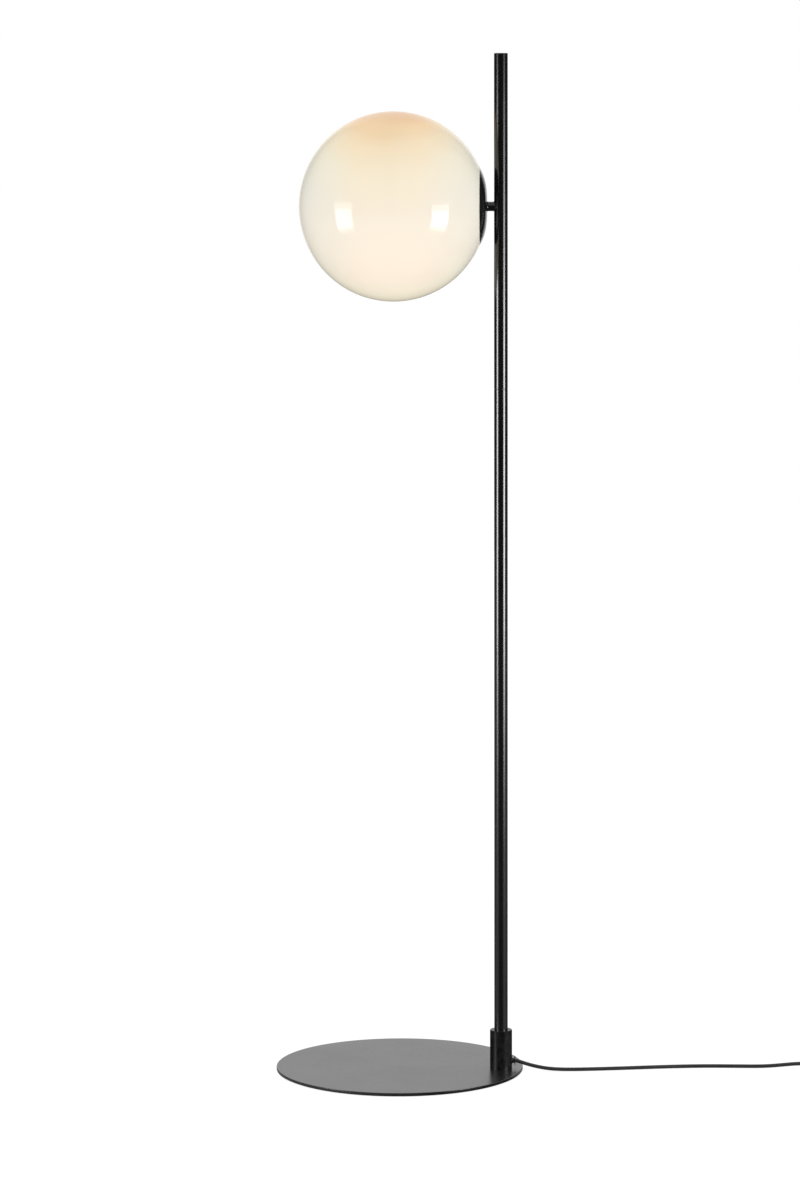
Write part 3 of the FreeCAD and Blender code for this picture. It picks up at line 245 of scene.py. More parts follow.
def relief(tree, shader, height, deep):
    """A bump of that depth, in metres, on the shader's normal."""
    bump = add_node(tree, "ShaderNodeBump", Height=height, Distance=deep, Strength=1.0)
    tree.links.new(bump.outputs["Normal"], shader.inputs["Normal"])


COAT_BLACK = (0.0044, 0.0044, 0.0048)
COAT_PALER = (0.0062, 0.0061, 0.0063)
COAT_RUBBED = (0.030, 0.030, 0.031, 1)
COAT_DUST = (0.16, 0.155, 0.145, 1)
ORANGE_PEEL = 0.0000006


def coated_steel(name, gloss_low, gloss_high, specular=0.9, depth=1.0):
    """Satin black powder coat: a fine orange peel, soft gloss, a little dust on level faces."""
    material, tree, shader = new_material(name)
    grain = place_group(tree, GRAIN, Grain_size=0.0007, Cloud_size=0.09)
    dust = place_group(tree, DUST, Amount=0.10, Fleck_size=0.0016)
    worn = place_group(tree, EDGES, Amount=0.35)
    # depth below 1 darkens the coat's colour as painted shade
    darker = tuple(part * depth for part in COAT_BLACK) + (1,)
    paler = tuple(part * depth for part in COAT_PALER) + (1,)
    black = blended(tree, spread(tree, grain.outputs["Clouds"], 0.0, 1.0), darker, paler)
    rubbed = blended(tree, worn.outputs["Mask"], black, COAT_RUBBED)
    dusty = blended(tree, dust.outputs["Mask"], rubbed, COAT_DUST)
    tree.links.new(dusty, shader.inputs["Base Color"])
    gloss = spread(tree, grain.outputs["Clouds"], gloss_low, gloss_high)
    tree.links.new(maths(tree, "ADD", gloss, dust.outputs["Mask"]), shader.inputs["Roughness"])
    shader.inputs["Specular IOR Level"].default_value = specular
    relief(tree, shader, grain.outputs["Height"], ORANGE_PEEL)
    return material


def opal_glass():
    """Blown opal glass with a ground mouth: milky, its colour changing with height with painted light in
    it, painted shade cooling the sides, and a faint painted glow.
    """
    painted_side_shade_drop = 0.16
    painted_side_shade_colour = (0.88, 0.95, 1.0, 1)
    ground_rough = 0.5
    mouth_x = GLOBE_HIGH.x
    material, tree, shader = new_material("opal_glass")
    place = tree.nodes.new("ShaderNodeTexCoord").outputs["Object"]
    axes = add_node(tree, "ShaderNodeSeparateXYZ")
    tree.links.new(place, axes.inputs[0])
    grain = place_group(tree, GRAIN, Grain_size=0.03, Stretch=(1, 1, 0.45), Cloud_size=0.11)
    height = remap(tree, axes.outputs["Z"], GLOBE_AT.z - GLOBE_R, GLOBE_AT.z + GLOBE_R, 0.0, 1.0)
    drift = spread(tree, grain.outputs["Clouds"], -0.04, 0.04)
    off = maths(tree, "ABSOLUTE", maths(tree, "SUBTRACT", axes.outputs["X"], GLOBE_AT.x))
    # painted shade: away from the middle in X the glass takes the colour from lower down and is made cooler
    # and a little darker
    side = remap(tree, off, 0.25 * GLOBE_R, GLOBE_R, 0.0, 1.0, "SMOOTHSTEP")
    height_less_side_shade = maths(tree, "SUBTRACT", height, maths(tree, "MULTIPLY", side, painted_side_shade_drop))
    # colour by height: the glass's cream tint with painted light in it, paler low down and a deepening warm
    # orange cast towards the top
    tint_and_painted_light_ramp = tree.nodes.new("ShaderNodeValToRGB")
    tree.links.new(maths(tree, "ADD", height_less_side_shade, drift), tint_and_painted_light_ramp.inputs["Fac"])
    stops = tint_and_painted_light_ramp.color_ramp.elements
    stops[0].position = 0.0
    stops[0].color = (0.97, 0.89, 0.70, 1)
    stops[1].position = 1.0
    stops[1].color = (0.82, 0.50, 0.27, 1)
    for where, colour in (
        (0.14, (0.92, 0.80, 0.66, 1)),
        (0.45, (0.89, 0.80, 0.67, 1)),
        (0.66, (0.90, 0.80, 0.62, 1)),
        (0.80, (0.92, 0.76, 0.53, 1)),
        (0.92, (0.91, 0.66, 0.39, 1)),
    ):
        stops.new(where).color = colour
    side_shaded = tree.nodes.new("ShaderNodeMix")
    side_shaded.data_type = "RGBA"
    side_shaded.blend_type = "MULTIPLY"
    tree.links.new(side, side_shaded.inputs[0])
    tree.links.new(tint_and_painted_light_ramp.outputs["Color"], side_shaded.inputs[6])
    side_shaded.inputs[7].default_value = painted_side_shade_colour
    tree.links.new(side_shaded.outputs[2], shader.inputs["Base Color"])
    # painted glow: the glass gives off a faint light in its own colour, with no lamp lit inside
    tree.links.new(side_shaded.outputs[2], shader.inputs["Emission Color"])
    shader.inputs["Emission Strength"].default_value = 0.12
    ground = remap(tree, axes.outputs["X"], mouth_x - 0.0007, mouth_x - 0.0005, 0.0, ground_rough)
    smooth = spread(tree, grain.outputs["Height"], 0.018, 0.030)
    tree.links.new(maths(tree, "MAXIMUM", smooth, ground), shader.inputs["Roughness"])
    shader.inputs["Specular IOR Level"].default_value = 0.3
    relief(tree, shader, grain.outputs["Height"], 0.00006)
    return material


HOUSE_DUST = (0.30, 0.29, 0.27, 1)


def moulded(name, colours, gloss, grain_size, deep, specular=0.5):
    """Moulded plastic or rubber with a fine grain and slightly uneven gloss."""
    material, tree, shader = new_material(name)
    grain = place_group(tree, GRAIN, Grain_size=grain_size, Cloud_size=0.02)
    dust = place_group(tree, DUST, Amount=0.10, Fleck_size=0.0012)
    worn = place_group(tree, EDGES, Amount=0.25)
    deep_colour, pale_colour = colours
    body = blended(tree, spread(tree, grain.outputs["Clouds"], 0.0, 1.0), deep_colour, pale_colour)
    pale_edge = tuple(min(1.0, 1.6 * c + 0.02) for c in pale_colour[:3]) + (1,)
    rubbed = blended(tree, worn.outputs["Mask"], body, pale_edge)
    dusty = blended(tree, dust.outputs["Mask"], rubbed, HOUSE_DUST)
    tree.links.new(dusty, shader.inputs["Base Color"])
    tree.links.new(spread(tree, grain.outputs["Clouds"], *gloss), shader.inputs["Roughness"])
    shader.inputs["Specular IOR Level"].default_value = specular
    relief(tree, shader, grain.outputs["Height"], deep)
    return material


def bare_metal(name, colours, gloss, stretch, deep):
    """Plated or turned metal with the fine lines of its making."""
    material, tree, shader = new_material(name)
    grain = place_group(tree, GRAIN, Grain_size=0.0025, Stretch=stretch, Cloud_size=0.012)
    worn = place_group(tree, EDGES, Amount=0.4)
    dull, bright = colours
    body = blended(tree, spread(tree, grain.outputs["Clouds"], 0.0, 1.0), dull, bright)
    pale_edge = tuple(min(1.0, 1.15 * c) for c in bright[:3]) + (1,)
    tree.links.new(blended(tree, worn.outputs["Mask"], body, pale_edge), shader.inputs["Base Color"])
    tree.links.new(spread(tree, grain.outputs["Height"], *gloss), shader.inputs["Roughness"])
    shader.inputs["Metallic"].default_value = 1.0
    relief(tree, shader, grain.outputs["Height"], deep)
    return material


def grey(level):
    return (level, level, level, 1)


LATHE_LINES = (12, 1, 1)
MATERIALS = {
    "black_steel": coated_steel("satin_black_coat", 0.17, 0.20),
    "black_foam": moulded(
        "foam_pad", (grey(0.018), grey(0.030)),
        (0.75, 0.9), 0.0009, 0.00018, 0.3),
    "zinc_steel": bare_metal(
        "zinc_plated_steel", ((0.50, 0.51, 0.53, 1), (0.62, 0.63, 0.66, 1)),
        (0.25, 0.42), LATHE_LINES, 0.000006),
    "black_oxide": bare_metal(
        "black_oxide_steel", (grey(0.035), grey(0.06)),
        (0.32, 0.45), (1, 1, 6), 0.000005),
    "black_plastic": moulded(
        "grained_black_plastic", (grey(0.016), grey(0.023)),
        (0.42, 0.52), 0.0004, 0.00003),
    "black_gloss_plastic": moulded(
        "semi_gloss_black_plastic", (grey(0.014), grey(0.019)),
        (0.22, 0.32), 0.0008, 0.00001),
    "clear_silicone": moulded(
        "silicone_ring", ((0.62, 0.61, 0.56, 1), (0.72, 0.71, 0.66, 1)),
        (0.3, 0.4), 0.002, 0.00002),
    "spring_steel": bare_metal(
        "spring_steel", ((0.42, 0.42, 0.44, 1), (0.55, 0.55, 0.57, 1)),
        (0.18, 0.32), (1, 8, 8), 0.000004),
    "opal_glass": opal_glass(),
    "white_ceramic": moulded(
        "glazed_ceramic", ((0.76, 0.74, 0.68, 1), (0.84, 0.82, 0.77, 1)),
        (0.12, 0.22), 0.003, 0.00002),
    "brass": bare_metal(
        "bright_brass", ((0.66, 0.47, 0.18, 1), (0.80, 0.62, 0.30, 1)),
        (0.16, 0.32), LATHE_LINES, 0.000006),
    "nickel": bare_metal(
        "nickel_plate", ((0.60, 0.58, 0.54, 1), (0.70, 0.68, 0.64, 1)),
        (0.12, 0.24), LATHE_LINES, 0.000004),
    "black_glass": moulded(
        "black_insulating_glass", (grey(0.012), grey(0.02)),
        (0.08, 0.16), 0.002, 0.00002),
    "white_plastic": moulded(
        "white_plastic", ((0.74, 0.74, 0.71, 1), (0.80, 0.80, 0.78, 1)),
        (0.35, 0.45), 0.0006, 0.00002),
    "frosted_plastic": moulded(
        "frosted_plastic", ((0.80, 0.79, 0.75, 1), (0.85, 0.84, 0.81, 1)),
        (0.42, 0.52), 0.0009, 0.00002),
    "black_pvc": moulded(
        "smooth_black_pvc", (grey(0.013), grey(0.019)),
        (0.34, 0.44), 0.0022, 0.00002),
    "core_pvc": moulded(
        "core_insulation", ((0.16, 0.07, 0.03, 1), (0.22, 0.10, 0.045, 1)),
        (0.35, 0.45), 0.001, 0.00001),
    "tie_strap": moulded(
        "woven_strap", (grey(0.012), grey(0.03)),
        (0.75, 0.9), 0.0006, 0.00018, 0.25),
    "black_rubber": moulded(
        "soft_black_rubber", (grey(0.016), grey(0.026)),
        (0.6, 0.75), 0.0006, 0.00005, 0.4),
}
DISC_COAT = coated_steel("satin_black_coat_of_disc", 0.25, 0.29)
# the same coat for the socket, rougher and with less specular, its colour halved as painted shade
SHADED_SOCKET_COAT = coated_steel("matt_black_coat_of_socket_with_painted_shade", 0.27, 0.31, 0.3, 0.5)

# ---------------------------------------------------------------- mesh helpers


def finished(mesh, name, slot, body="root", replaces=()):
    """Puts a mesh in the scene as a piece of the lamp, with its finish and its body."""
    piece = bpy.data.objects.new(name, mesh)
    bpy.context.scene.collection.objects.link(piece)
    mesh.materials.append(MATERIALS[slot])
    for face in mesh.polygons:
        face.use_smooth = True
    even = piece.modifiers.new("even shading", "WEIGHTED_NORMAL")
    even.keep_sharp = True
    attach(piece, body)
    if replaces:
        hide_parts(*replaces)
    return piece


def eased(corners, steps=4):
    """An outline from corners (along, radius, rounding), each corner eased by an arc."""
    out = []
    count = len(corners)
    for k, corner in enumerate(corners):
        here = Vector(corner[:2])
        rounding = corner[2] if len(corner) > 2 else 0.0
        if rounding == 0.0:
            out.append(tuple(here))
            continue
        back = Vector(corners[k - 1][:2]) - here
        ahead = Vector(corners[(k + 1) % count][:2]) - here
        back.normalize()
        ahead.normalize()
        half = back.angle(ahead) / 2
        cut = rounding / math.tan(half)
        centre = here + (back + ahead).normalized() * (rounding / math.sin(half))
        first = here + back * cut - centre
        last = here + ahead * cut - centre
        sweep = first.angle_signed(last)
        for j in range(steps + 1):
            spoke = first.copy()
            spoke.rotate(Matrix.Rotation(-sweep * j / steps, 2))
            out.append(tuple(centre + spoke))
    return out


def turned(name, outline, at, axis, steps=96, closed=True):
    """A mesh turned about an axis through a place, from an outline of (along, radius)."""
    mesh = bpy.data.meshes.new(name)
    shape = bmesh.new()
    along = Vector(axis).normalized()
    side = along.orthogonal().normalized()
    other = along.cross(side)
    rings = []
    for distance, radius in outline:
        foot = Vector(at) + along * distance
        if radius < 1e-7:
            rings.append([shape.verts.new(foot)])
            continue
        ring = []
        for k in range(steps):
            turn = 2 * math.pi * k / steps
            ring.append(shape.verts.new(foot + (side * math.cos(turn) + other * math.sin(turn)) * radius))
        rings.append(ring)
    pairs = list(zip(rings, rings[1:]))
    if closed and len(rings[0]) > 1 and len(rings[-1]) > 1:
        pairs.append((rings[-1], rings[0]))
    for low, high in pairs:
        if len(low) == 1 and len(high) == 1:
            continue
        for k in range(steps):
            nxt = (k + 1) % steps
            if len(low) == 1:
                shape.faces.new((low[0], high[nxt], high[k]))
            elif len(high) == 1:
                shape.faces.new((low[k], low[nxt], high[0]))
            else:
                shape.faces.new((low[k], low[nxt], high[nxt], high[k]))
    bmesh.ops.recalc_face_normals(shape, faces=shape.faces)
    shape.to_mesh(mesh)
    shape.free()
    return mesh


def skin(shape, rows, loop=False):
    """Faces between rows of points, each row a closed ring of as many."""
    pairs = list(zip(rows, rows[1:]))
    if loop:
        pairs.append((rows[-1], rows[0]))
    for low, high in pairs:
        for k in range(len(low)):
            nxt = (k + 1) % len(low)
            shape.faces.new((low[k], low[nxt], high[nxt], high[k]))


def to_mesh(shape, name):
    bmesh.ops.recalc_face_normals(shape, faces=shape.faces)
    mesh = bpy.data.meshes.new(name)
    shape.to_mesh(mesh)
    shape.free()
    return mesh


# ---------------------------------------------------------------- pieces


def make_globe():
    """The opal ball: outer and inner wall, and a ground and eased mouth."""
    steps = 72
    inner_r = GLOBE_R - GLASS
    bevel = 0.0006
    lip_turn = math.acos((MOUTH - bevel) / GLOBE_R)
    mouth_r = math.sqrt(GLOBE_R ** 2 - MOUTH ** 2)
    inner_turn = math.acos(MOUTH / inner_r)
    outline = []
    for k in range(steps + 1):
        turn = math.pi + (lip_turn - math.pi) * k / steps
        outline.append((GLOBE_R * math.cos(turn), GLOBE_R * math.sin(turn)))
    outline.append((MOUTH, mouth_r - bevel))
    for k in range(steps + 1):
        turn = inner_turn + (math.pi - inner_turn) * k / steps
        outline.append((inner_r * math.cos(turn), inner_r * math.sin(turn)))
    mesh = turned("glass_ball", outline, GLOBE_AT, (1, 0, 0), steps=160, closed=False)
    return finished(mesh, "glass_ball", "opal_glass", "globe", ["glass_globe"])


def make_disc():
    """The flat steel disc, its edges broken."""
    edge = 0.0007
    low, high = DISC_Z
    outline = eased([(low, 0), (low, DISC_R, edge), (high, DISC_R, edge), (high, 0)])
    mesh = turned("foot_disc", outline, (0, 0, 0), (0, 0, 1), steps=256, closed=False)
    piece = finished(mesh, "foot_disc", "black_steel", "root", ["base_plate"])
    mesh.materials[0] = DISC_COAT
    return piece


def make_tube(name, node, span):
    """A length of the stem; its eased ends leave the fine line where two lengths meet."""
    edge = 0.00028
    low, high = span
    bore = STEM_R - STEM_WALL
    outline = eased([(low, bore), (low, STEM_R, edge), (high, STEM_R, edge), (high, bore)], steps=3)
    mesh = turned(name, outline, (STEM_AT.x, STEM_AT.y, 0), (0, 0, 1), steps=96)
    return finished(mesh, name, "black_steel", "root", [node])


def make_top_cap():
    """Flush cap that closes the stem, with a hairline under it and a soft upper edge."""
    low = UPPER_Z[1]
    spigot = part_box("top_cap")[0].z
    spigot_r = STEM_R - STEM_WALL - 0.00005
    outline = eased([
        (spigot, 0),
        (spigot, spigot_r, 0.0004),
        (low, spigot_r),
        (low, STEM_R, 0.00018),
        (TOP_Z, STEM_R, 0.0005),
        (TOP_Z, 0),
    ])
    mesh = turned("stem_cap", outline, (STEM_AT.x, STEM_AT.y, 0), (0, 0, 1), steps=96, closed=False)
    return finished(mesh, "stem_cap", "black_steel", "root", ["top_cap"])


def make_arm():
    """The arm's sleeve: flared at the cup, and run out in a small brazed fillet on the stem."""
    around = 72
    fillet = 0.0011
    fillet_steps = 8
    flare = 0.0009
    flare_long = 0.0011
    flare_steps = 6
    lip = 0.0002
    sunk = 0.0004
    bore = NIPPLE_R + 0.00005
    cup_x = GLOBE_AT.x + CUP_BACK
    shape = bmesh.new()
    rows = []

    def add_row(radius, x_at):
        row = []
        for k in range(around):
            turn = 2 * math.pi * k / around
            y = radius * math.cos(turn)
            z = radius * math.sin(turn)
            row.append(shape.verts.new((x_at(y), STEM_AT.y + y, GLOBE_AT.z + z)))
        rows.append(row)

    def stem_face(y):
        return STEM_AT.x - math.sqrt(STEM_R ** 2 - y ** 2)

    add_row(bore, lambda y: cup_x)
    add_row(SLEEVE_R + flare - lip, lambda y: cup_x)
    for k in range(flare_steps + 1):
        t = k / flare_steps
        x = cup_x + lip + flare_long * t
        add_row(SLEEVE_R + flare * (1 - t) ** 2, lambda y: x)
    for k in range(fillet_steps + 1):
        turn = math.pi / 2 * k / fillet_steps
        off = fillet * (1 - math.sin(turn))
        add_row(SLEEVE_R + fillet * (1 - math.cos(turn)), lambda y: stem_face(y) - off)
    add_row(SLEEVE_R + fillet, lambda y: stem_face(y) + sunk)
    skin(shape, rows)
    mesh = to_mesh(shape, "arm_tube")
    return finished(mesh, "arm_tube", "black_steel", "root", ["arm_sleeve"])


def make_cord_grip():
    """Soft grip where the cord leaves the socket: a waisted neck and a thin lip that flares out."""
    # distance from the stem's axis, and radius
    neck = [(0.0139, 0.0044), (0.0148, 0.0044), (0.0153, 0.0038), (0.0159, 0.0031), (0.0165, 0.00285),
            (0.0171, 0.0031), (0.0176, 0.0038), (0.0180, 0.0048), (0.0182, 0.0057), (0.0183, 0.0063)]
    lip = [(0.0186, 0.00645), (0.0190, 0.0063), (0.0191, 0.0057), (0.0189, 0.0047), (0.0186, 0.0037),
           (0.0184, 0.0030), (0.0184, 0.00256), (0.0139, 0.00256)]
    mesh = turned("cord_grip", neck + lip, (STEM_AT.x, STEM_AT.y, CORD_EXIT_Z), (1, 0, 0), steps=64)
    return finished(mesh, "cord_grip", "black_plastic", "root", ["cord_bushing"])


# foot switch: a rounded casing with a raised collar round a ribbed button

SWITCH_LOW, SWITCH_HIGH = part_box("switch_cover")
SWITCH_AT = middle("switch_cover")
SWITCH_HALF = ((SWITCH_HIGH.x - SWITCH_LOW.x) / 2, (SWITCH_HIGH.y - SWITCH_LOW.y) / 2)
SWITCH_CORNER = 0.024
BUTTON_LOW, BUTTON_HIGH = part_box("switch_button")
BUTTON_R = 0.015


def casing_ring(inset, z, around=96):
    """Points of the casing's outline, moved in, one for each angle from its middle."""
    hx = SWITCH_HALF[0] - inset
    hy = SWITCH_HALF[1] - inset
    corner = max(SWITCH_CORNER - inset, 0.002)
    ring = []
    for k in range(around):
        turn = 2 * math.pi * (k + 0.5) / around
        way = Vector((math.cos(turn), math.sin(turn)))
        reach = min(hx / abs(way.x), hy / abs(way.y))
        spot = way * reach
        if abs(spot.x) > hx - corner and abs(spot.y) > hy - corner:
            centre = Vector((math.copysign(hx - corner, way.x), math.copysign(hy - corner, way.y)))
            lean = way.dot(centre)
            spot = way * (lean + math.sqrt(lean ** 2 - centre.length_squared + corner ** 2))
        ring.append((SWITCH_AT.x + spot.x, SWITCH_AT.y + spot.y, z))
    return ring


def round_ring(r, z, around=96):
    ring = []
    for k in range(around):
        turn = 2 * math.pi * (k + 0.5) / around
        ring.append((SWITCH_AT.x + r * math.cos(turn), SWITCH_AT.y + r * math.sin(turn), z))
    return ring


def make_switch_cover():
    """Upper half of the foot switch, eased where it meets the tray so that the joint shows."""
    split = SWITCH_LOW.z
    top = SWITCH_HIGH.z
    wall = 0.002
    rounding = 0.007
    groove = 0.0005
    steps = 10
    rings = [
        casing_ring(wall, split),
        casing_ring(groove, split),
        casing_ring(0.3 * groove, split + 0.3 * groove),
        casing_ring(0, split + groove),
    ]
    for k in range(steps + 1):
        turn = math.pi / 2 * k / steps
        inset = rounding * (1 - math.cos(turn))
        rings.append(casing_ring(inset, top - rounding + rounding * math.sin(turn)))
    # the raised collar round the button: radius, and height over the casing's top
    collar = [(0.0188, 0), (0.0184, 0.0001), (0.0181, 0.0005), (0.0177, 0.0007), (0.0164, 0.0007),
              (0.0159, 0.0005), (0.0155, 0.0001), (0.0153, -0.0005), (0.0153, -wall)]
    for r, up in collar:
        rings.append(round_ring(r, top + up))
    rings.append(round_ring(0.0172, top - wall))
    inner = rounding - 0.75 * wall
    for k in range(steps, -1, -1):
        turn = math.pi / 2 * k / steps
        inset = wall + inner * (1 - math.cos(turn))
        rings.append(casing_ring(inset, top - wall - inner + inner * math.sin(turn)))
    shape = bmesh.new()
    rows = [[shape.verts.new(spot) for spot in ring] for ring in rings]
    skin(shape, rows, loop=True)
    mesh = to_mesh(shape, "pedal_cover")
    return finished(mesh, "pedal_cover", "black_plastic", "root", ["switch_cover"])


def make_switch_button():
    """Round button, dished, with raised grip rings, a retaining collar and a spring guide."""
    top = BUTTON_HIGH.z
    bottom = BUTTON_LOW.z
    guide_long = 0.003
    guide_r = 0.007
    guide_bore = 0.0052
    collar_low = bottom + guide_long
    collar_high = collar_low + 0.002
    collar_r = half_width("switch_button")
    dish = 0.0007
    edge = 0.0016
    rim = BUTTON_R - edge
    ribs = (0.0035, 0.0060, 0.0085, 0.0110)
    rib_tall = 0.00030
    rib_wide = 0.00042
    outline = []
    count = 90
    for k in range(count + 1):
        r = rim * k / count
        level = top - dish * (1 - (r / rim) ** 2)
        for rib in ribs:
            level += rib_tall * math.exp(-((r - rib) / rib_wide) ** 2)
        outline.append((min(level, top), r))
    for k in range(1, 7):
        turn = math.pi / 2 * k / 6
        outline.append((top - edge * (1 - math.cos(turn)), rim + edge * math.sin(turn)))
    outline += [
        (collar_high, BUTTON_R),
        (collar_high, collar_r),
        (collar_low, collar_r),
        (collar_low, guide_r),
        (bottom, guide_r),
        (bottom, guide_bore),
        (collar_low, guide_bore),
        (collar_low, 0),
    ]
    mesh = turned("pedal_button", outline, (SWITCH_AT.x, SWITCH_AT.y, 0), (0, 0, 1), steps=96, closed=False)
    return finished(mesh, "pedal_button", "black_gloss_plastic", "button", ["switch_button"])


def make_button_spring():
    """Open compression spring under the button, which on the real switch closes up as the button goes down.
    """
    low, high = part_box("switch_spring")
    centre = middle("switch_spring")
    wire = 0.00035
    reach = half_width("switch_spring") - wire
    rise = high.z - low.z - 2 * wire
    turns = 4
    per_turn = 32
    around = 12
    count = turns * per_turn
    up = Vector((0, 0, 1))
    shape = bmesh.new()
    rows = []
    for k in range(count + 1):
        turn = 2 * math.pi * k / per_turn
        out = Vector((math.cos(turn), math.sin(turn), 0))
        line = Vector((centre.x, centre.y, low.z + wire + rise * k / count)) + out * reach
        row = []
        for m in range(around):
            about = 2 * math.pi * m / around
            spoke = out * math.cos(about) + up * math.sin(about)
            row.append(shape.verts.new(line + spoke * wire))
        rows.append(row)
    skin(shape, rows)
    shape.faces.new(rows[0])
    shape.faces.new(rows[-1])
    mesh = to_mesh(shape, "button_spring")
    piece = finished(mesh, "button_spring", "spring_steel", "root", ["switch_spring"])
    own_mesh(piece)
    return piece


# plug: a flat two-pin body with grip ribs, and part-sleeved pins

PLUG_LOW, PLUG_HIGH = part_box("plug_body")
PLUG_AT = middle("plug_body")
PLUG_HALF = ((PLUG_HIGH.y - PLUG_LOW.y) / 2, (PLUG_HIGH.z - PLUG_LOW.z) / 2)
PIN_LOW, PIN_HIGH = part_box("plug_pins")
PIN_R = (PIN_HIGH.z - PIN_LOW.z) / 2


def make_plug_body():
    """Plug body, narrow at the cord, wide at the face, ribbed for the fingers."""
    around = 96
    long = PLUG_HIGH.x - PLUG_LOW.x
    # place along the body, then half width and half thickness, all as shares of the largest
    stations = [
        (0.0, 0.33, 0.76), (0.02, 0.40, 0.84), (0.06, 0.46, 0.88), (0.14, 0.52, 0.89),
        (0.30, 0.60, 0.90), (0.42, 0.70, 0.92), (0.54, 0.86, 0.955), (0.64, 0.96, 0.985),
        (0.72, 1.0, 1.0), (0.95, 1.0, 1.0), (0.985, 0.985, 0.97), (1.0, 0.95, 0.92),
    ]
    ribs = (0.14, 0.56)
    rib_count = 7
    rib_deep = 0.0005
    squareness = 0.42
    face_share = 0.86
    face_edge = 6
    steps = 120
    shape = bmesh.new()
    rows = []
    for k in range(steps + 1):
        t = k / steps
        j = max(i for i, s in enumerate(stations[:-1]) if s[0] <= t)
        t0, w0, h0 = stations[j]
        t1, w1, h1 = stations[j + 1]
        share = (t - t0) / (t1 - t0)
        share = share * share * (3 - 2 * share)
        wide = PLUG_HALF[0] * (w0 + (w1 - w0) * share)
        thick = PLUG_HALF[1] * (h0 + (h1 - h0) * share)
        inside = (t - ribs[0]) / (ribs[1] - ribs[0])
        ribbed = 0.0
        if 0 < inside < 1:
            ribbed = rib_deep * (0.5 - 0.5 * math.cos(2 * math.pi * rib_count * inside)) - rib_deep
        row = []
        for m in range(around):
            turn = 2 * math.pi * (m + 0.5) / around
            c, s = math.cos(turn), math.sin(turn)
            # a rounded rectangle as a superellipse
            y = wide * math.copysign(abs(c) ** squareness, c)
            z = thick * math.copysign(abs(s) ** squareness, s)
            flat = max(0.0, 1 - (y / (face_share * wide)) ** face_edge)
            z += math.copysign(ribbed * flat, z) if abs(z) > 0.5 * thick else 0.0
            row.append(shape.verts.new((PLUG_LOW.x + long * t, PLUG_AT.y + y, PLUG_AT.z + z)))
        rows.append(row)
    skin(shape, rows)
    shape.faces.new(rows[0])
    shape.faces.new(rows[-1])
    mesh = to_mesh(shape, "plug_shell")
    return finished(mesh, "plug_shell", "black_gloss_plastic", "root", ["plug_body"])


def make_pins():
    """Two plated pins with insulating sleeves over their roots and rounded tips."""
    sleeve = 0.010
    long = PIN_HIGH.x - PIN_LOW.x
    shape = bmesh.new()
    around = 40
    tip = 0.0013
    metal_r = PIN_R - 0.00006
    # distance out, radius, and 1 for the sleeve or 0 for the metal
    outline = [
        (0, PIN_R, 1),
        (sleeve - 0.0002, PIN_R, 1),
        (sleeve, PIN_R - 0.0001, 1),
        (sleeve, metal_r, 0),
        (long - tip, metal_r, 0),
    ]
    for k in range(1, 8):
        turn = math.pi / 2 * k / 8
        outline.append((long - tip + tip * math.sin(turn), metal_r - 0.0011 * (1 - math.cos(turn)), 0))
    for y in (PIN_LOW.y + PIN_R, PIN_HIGH.y - PIN_R):
        rows = []
        for along, r, finish in outline:
            row = []
            for k in range(around):
                turn = 2 * math.pi * k / around
                across = y + r * math.cos(turn)
                row.append(shape.verts.new((PIN_LOW.x + along, across, PLUG_AT.z + r * math.sin(turn))))
            rows.append(row)
        for (low, high), step in zip(zip(rows, rows[1:]), outline):
            for k in range(around):
                nxt = (k + 1) % around
                face = shape.faces.new((low[k], low[nxt], high[nxt], high[k]))
                face.material_index = step[2]
        shape.faces.new(rows[-1])
    mesh = to_mesh(shape, "plug_prongs")
    piece = finished(mesh, "plug_prongs", "nickel", "root", ["plug_pins"])
    mesh.materials.append(MATERIALS["black_plastic"])
    return piece


